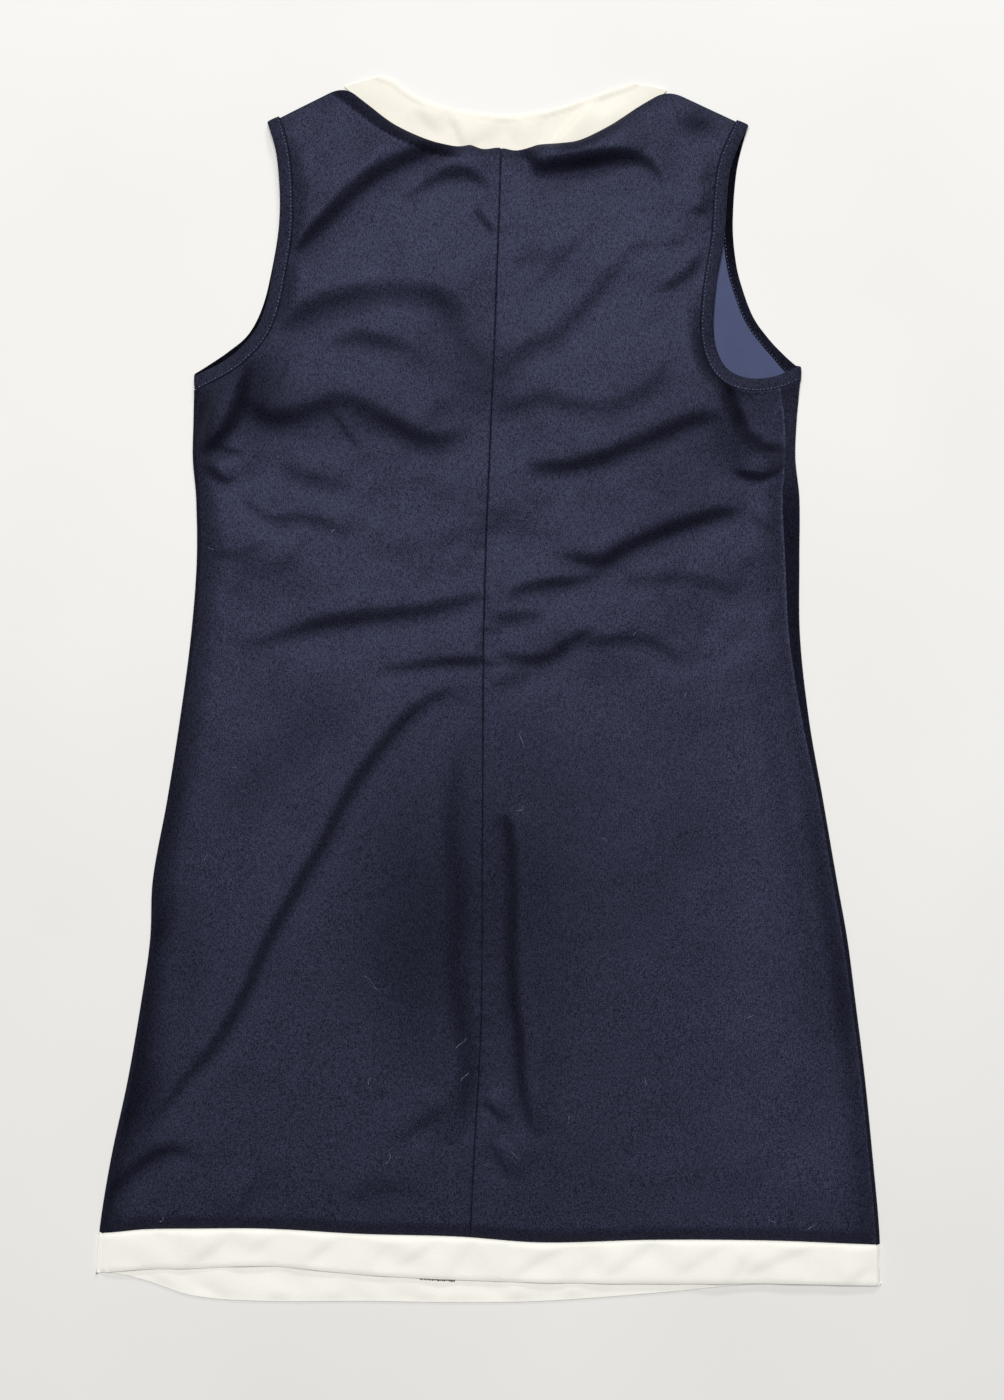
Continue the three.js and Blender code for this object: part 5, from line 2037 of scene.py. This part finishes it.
@dataclass
class Lint:
    """Fine stray fibres and specks that lie on the nap."""

    held: Held
    radius: float = 0.1
    seed: int = 29
    fibres: tuple[tuple[float, float, float, float], ...] = (
        (28, -46, 16, 2.1), (20, -92, 9, 0.4), (-82, -229, 18, 1.7), (-26, -272, 12, 0.9),
        (-14, -291, 10, 2.6),
        (-80, -362, 13, 1.2), (16, -350, 9, 0.2), (-214, 108, 6, -0.3), (-119, 118, 5, 1.4),
        (-120, 176, 4, 1.9),
        (148, -6, 4, 1.5), (90, -116, 6, 2.2), (-92, -300, 7, 0.5), (196, -250, 6, 1.1), (-190, -60, 5, 2.4),
        (60, -330, 7, 1.0), (-150, 60, 5, 1.3), (120, -300, 6, 2.0), (-216, -130, 6, 0.9), (30, 160, 4, 0.8),
        (240, -410, 9, 0.1), (218, -404, 7, 3.0), (-250, -404, 6, 0.6), (110, 40, 4, 1.8), (-60, 340, 4, 0.3),
    )

    def build(self) -> bpy.types.Object:
        """Makes the fibres.

        Returns:
            The piece.
        """
        parts = MeshParts()
        draw = np.random.default_rng(self.seed)
        for x, y, length, angle in self.fibres:
            steps = 14
            turn = angle + np.cumsum(draw.normal(0, 0.28, steps))
            plan = np.cumsum(np.stack([np.cos(turn), np.sin(turn)], axis=1) * length / steps, axis=0) + (x, y)
            z = self.held.relief.top(plan) + 0.12 + 0.35 * np.abs(np.sin(np.linspace(0, 3, steps)))
            parts.add(*tube(np.column_stack([plan, z]), self.radius, 4))
        return trim(parts.build("stray_fibres", (self.held.lint,)))


@dataclass
class Studio:
    """A pale board, soft light from above and from the neck end, and a camera straight above."""

    centre: Point = (10.0, -8.0)
    height: float = 1500.0
    view_long: float = 1064.0  # long side of the view, at the height of the cloth
    sensor: float = 36.0
    key_power: float = 218.0
    key_size: tuple[float, float] = (2900.0, 1900.0)
    key_at: tuple[float, float, float] = (-200.0, 1500.0, 4600.0)
    fill_power: float = 90.0
    fill_size: tuple[float, float] = (1400.0, 700.0)
    fill_at: tuple[float, float, float] = (1200.0, 4800.0, 2500.0)
    sky: float = 0.1

    def light(
        self, name: str, power: float, size: tuple[float, float], at: tuple[float, float, float]
    ) -> None:
        """Adds a soft box that looks at the dress.

        Args:
            name: Name of the light.
            power: Its power in watts.
            size: Its width and depth.
            at: Its place.
        """
        data = bpy.data.lights.new(name, "AREA")
        data.shape = "RECTANGLE"
        data.energy = power
        data.size, data.size_y = size[0] * MM, size[1] * MM
        lamp = bpy.data.objects.new(name, data)
        lamp.location = Vector(at) * MM
        lamp.rotation_euler = (-lamp.location).to_track_quat("-Z", "Y").to_euler()
        bpy.context.scene.collection.objects.link(lamp)

    def build(self) -> None:
        """Makes the board, the lights and the camera."""
        mesh = bpy.data.meshes.new("board")
        half, low = 4.0, -0.00005
        mesh.from_pydata([(-half, -half, low), (half, -half, low), (half, half, low), (-half, half, low)], [],
                         [(0, 1, 2, 3)])
        floor = bpy.data.objects.new("floor", mesh)
        mesh.materials.append(BoardFinish().make())
        bpy.context.scene.collection.objects.link(floor)
        self.light("key", self.key_power, self.key_size, self.key_at)
        self.light("fill", self.fill_power, self.fill_size, self.fill_at)
        world = bpy.data.worlds.new("studio")
        world.use_nodes = True
        background = world.node_tree.nodes["Background"]
        background.inputs["Color"].default_value = linear("F4F6FF")
        background.inputs["Strength"].default_value = self.sky
        scene = bpy.context.scene
        scene.world = world
        scene.view_settings.view_transform = "Standard"
        data = bpy.data.cameras.new("camera")
        data.sensor_width = self.sensor
        data.lens = self.sensor * (self.height - 5) / self.view_long
        camera = bpy.data.objects.new("camera", data)
        camera.location = Vector((*self.centre, self.height)) * MM
        scene.collection.objects.link(camera)
        scene.camera = camera


def main() -> None:
    """Builds the dress, its stitching and the studio round it."""
    logging.basicConfig(level=logging.INFO, format="%(name)s %(message)s")
    studio = Studio()
    studio.build()
    held = Held(
        relief=Relief(),
        navy=NAVY_DOUBLE_KNIT.make(),
        navy_inside=NAVY_DOUBLE_KNIT_INSIDE.make(),
        navy_thread=NAVY_THREAD.make(),
        overlock_thread=OVERLOCK_THREAD.make(),
        cream=CREAM_CREPE_KNIT.make(),
        cream_inside=CREAM_CREPE_KNIT_INSIDE_SHADED.make(),
        lint=COTTON_LINT.make(),
    )
    FrontPanel(held).build()
    for side in Side:
        BackPanel(side, held).build()
    for side in Side:
        ArmholeBand(side, held).build()
    NeckBand(held).build()
    bands = HemBands(held)
    bands.build_lower()
    bands.build_upper()
    HemOverlock(held).build()
    DartSeam(held).build()
    Lint(held).build()


if __name__ == "__main__":
    main()
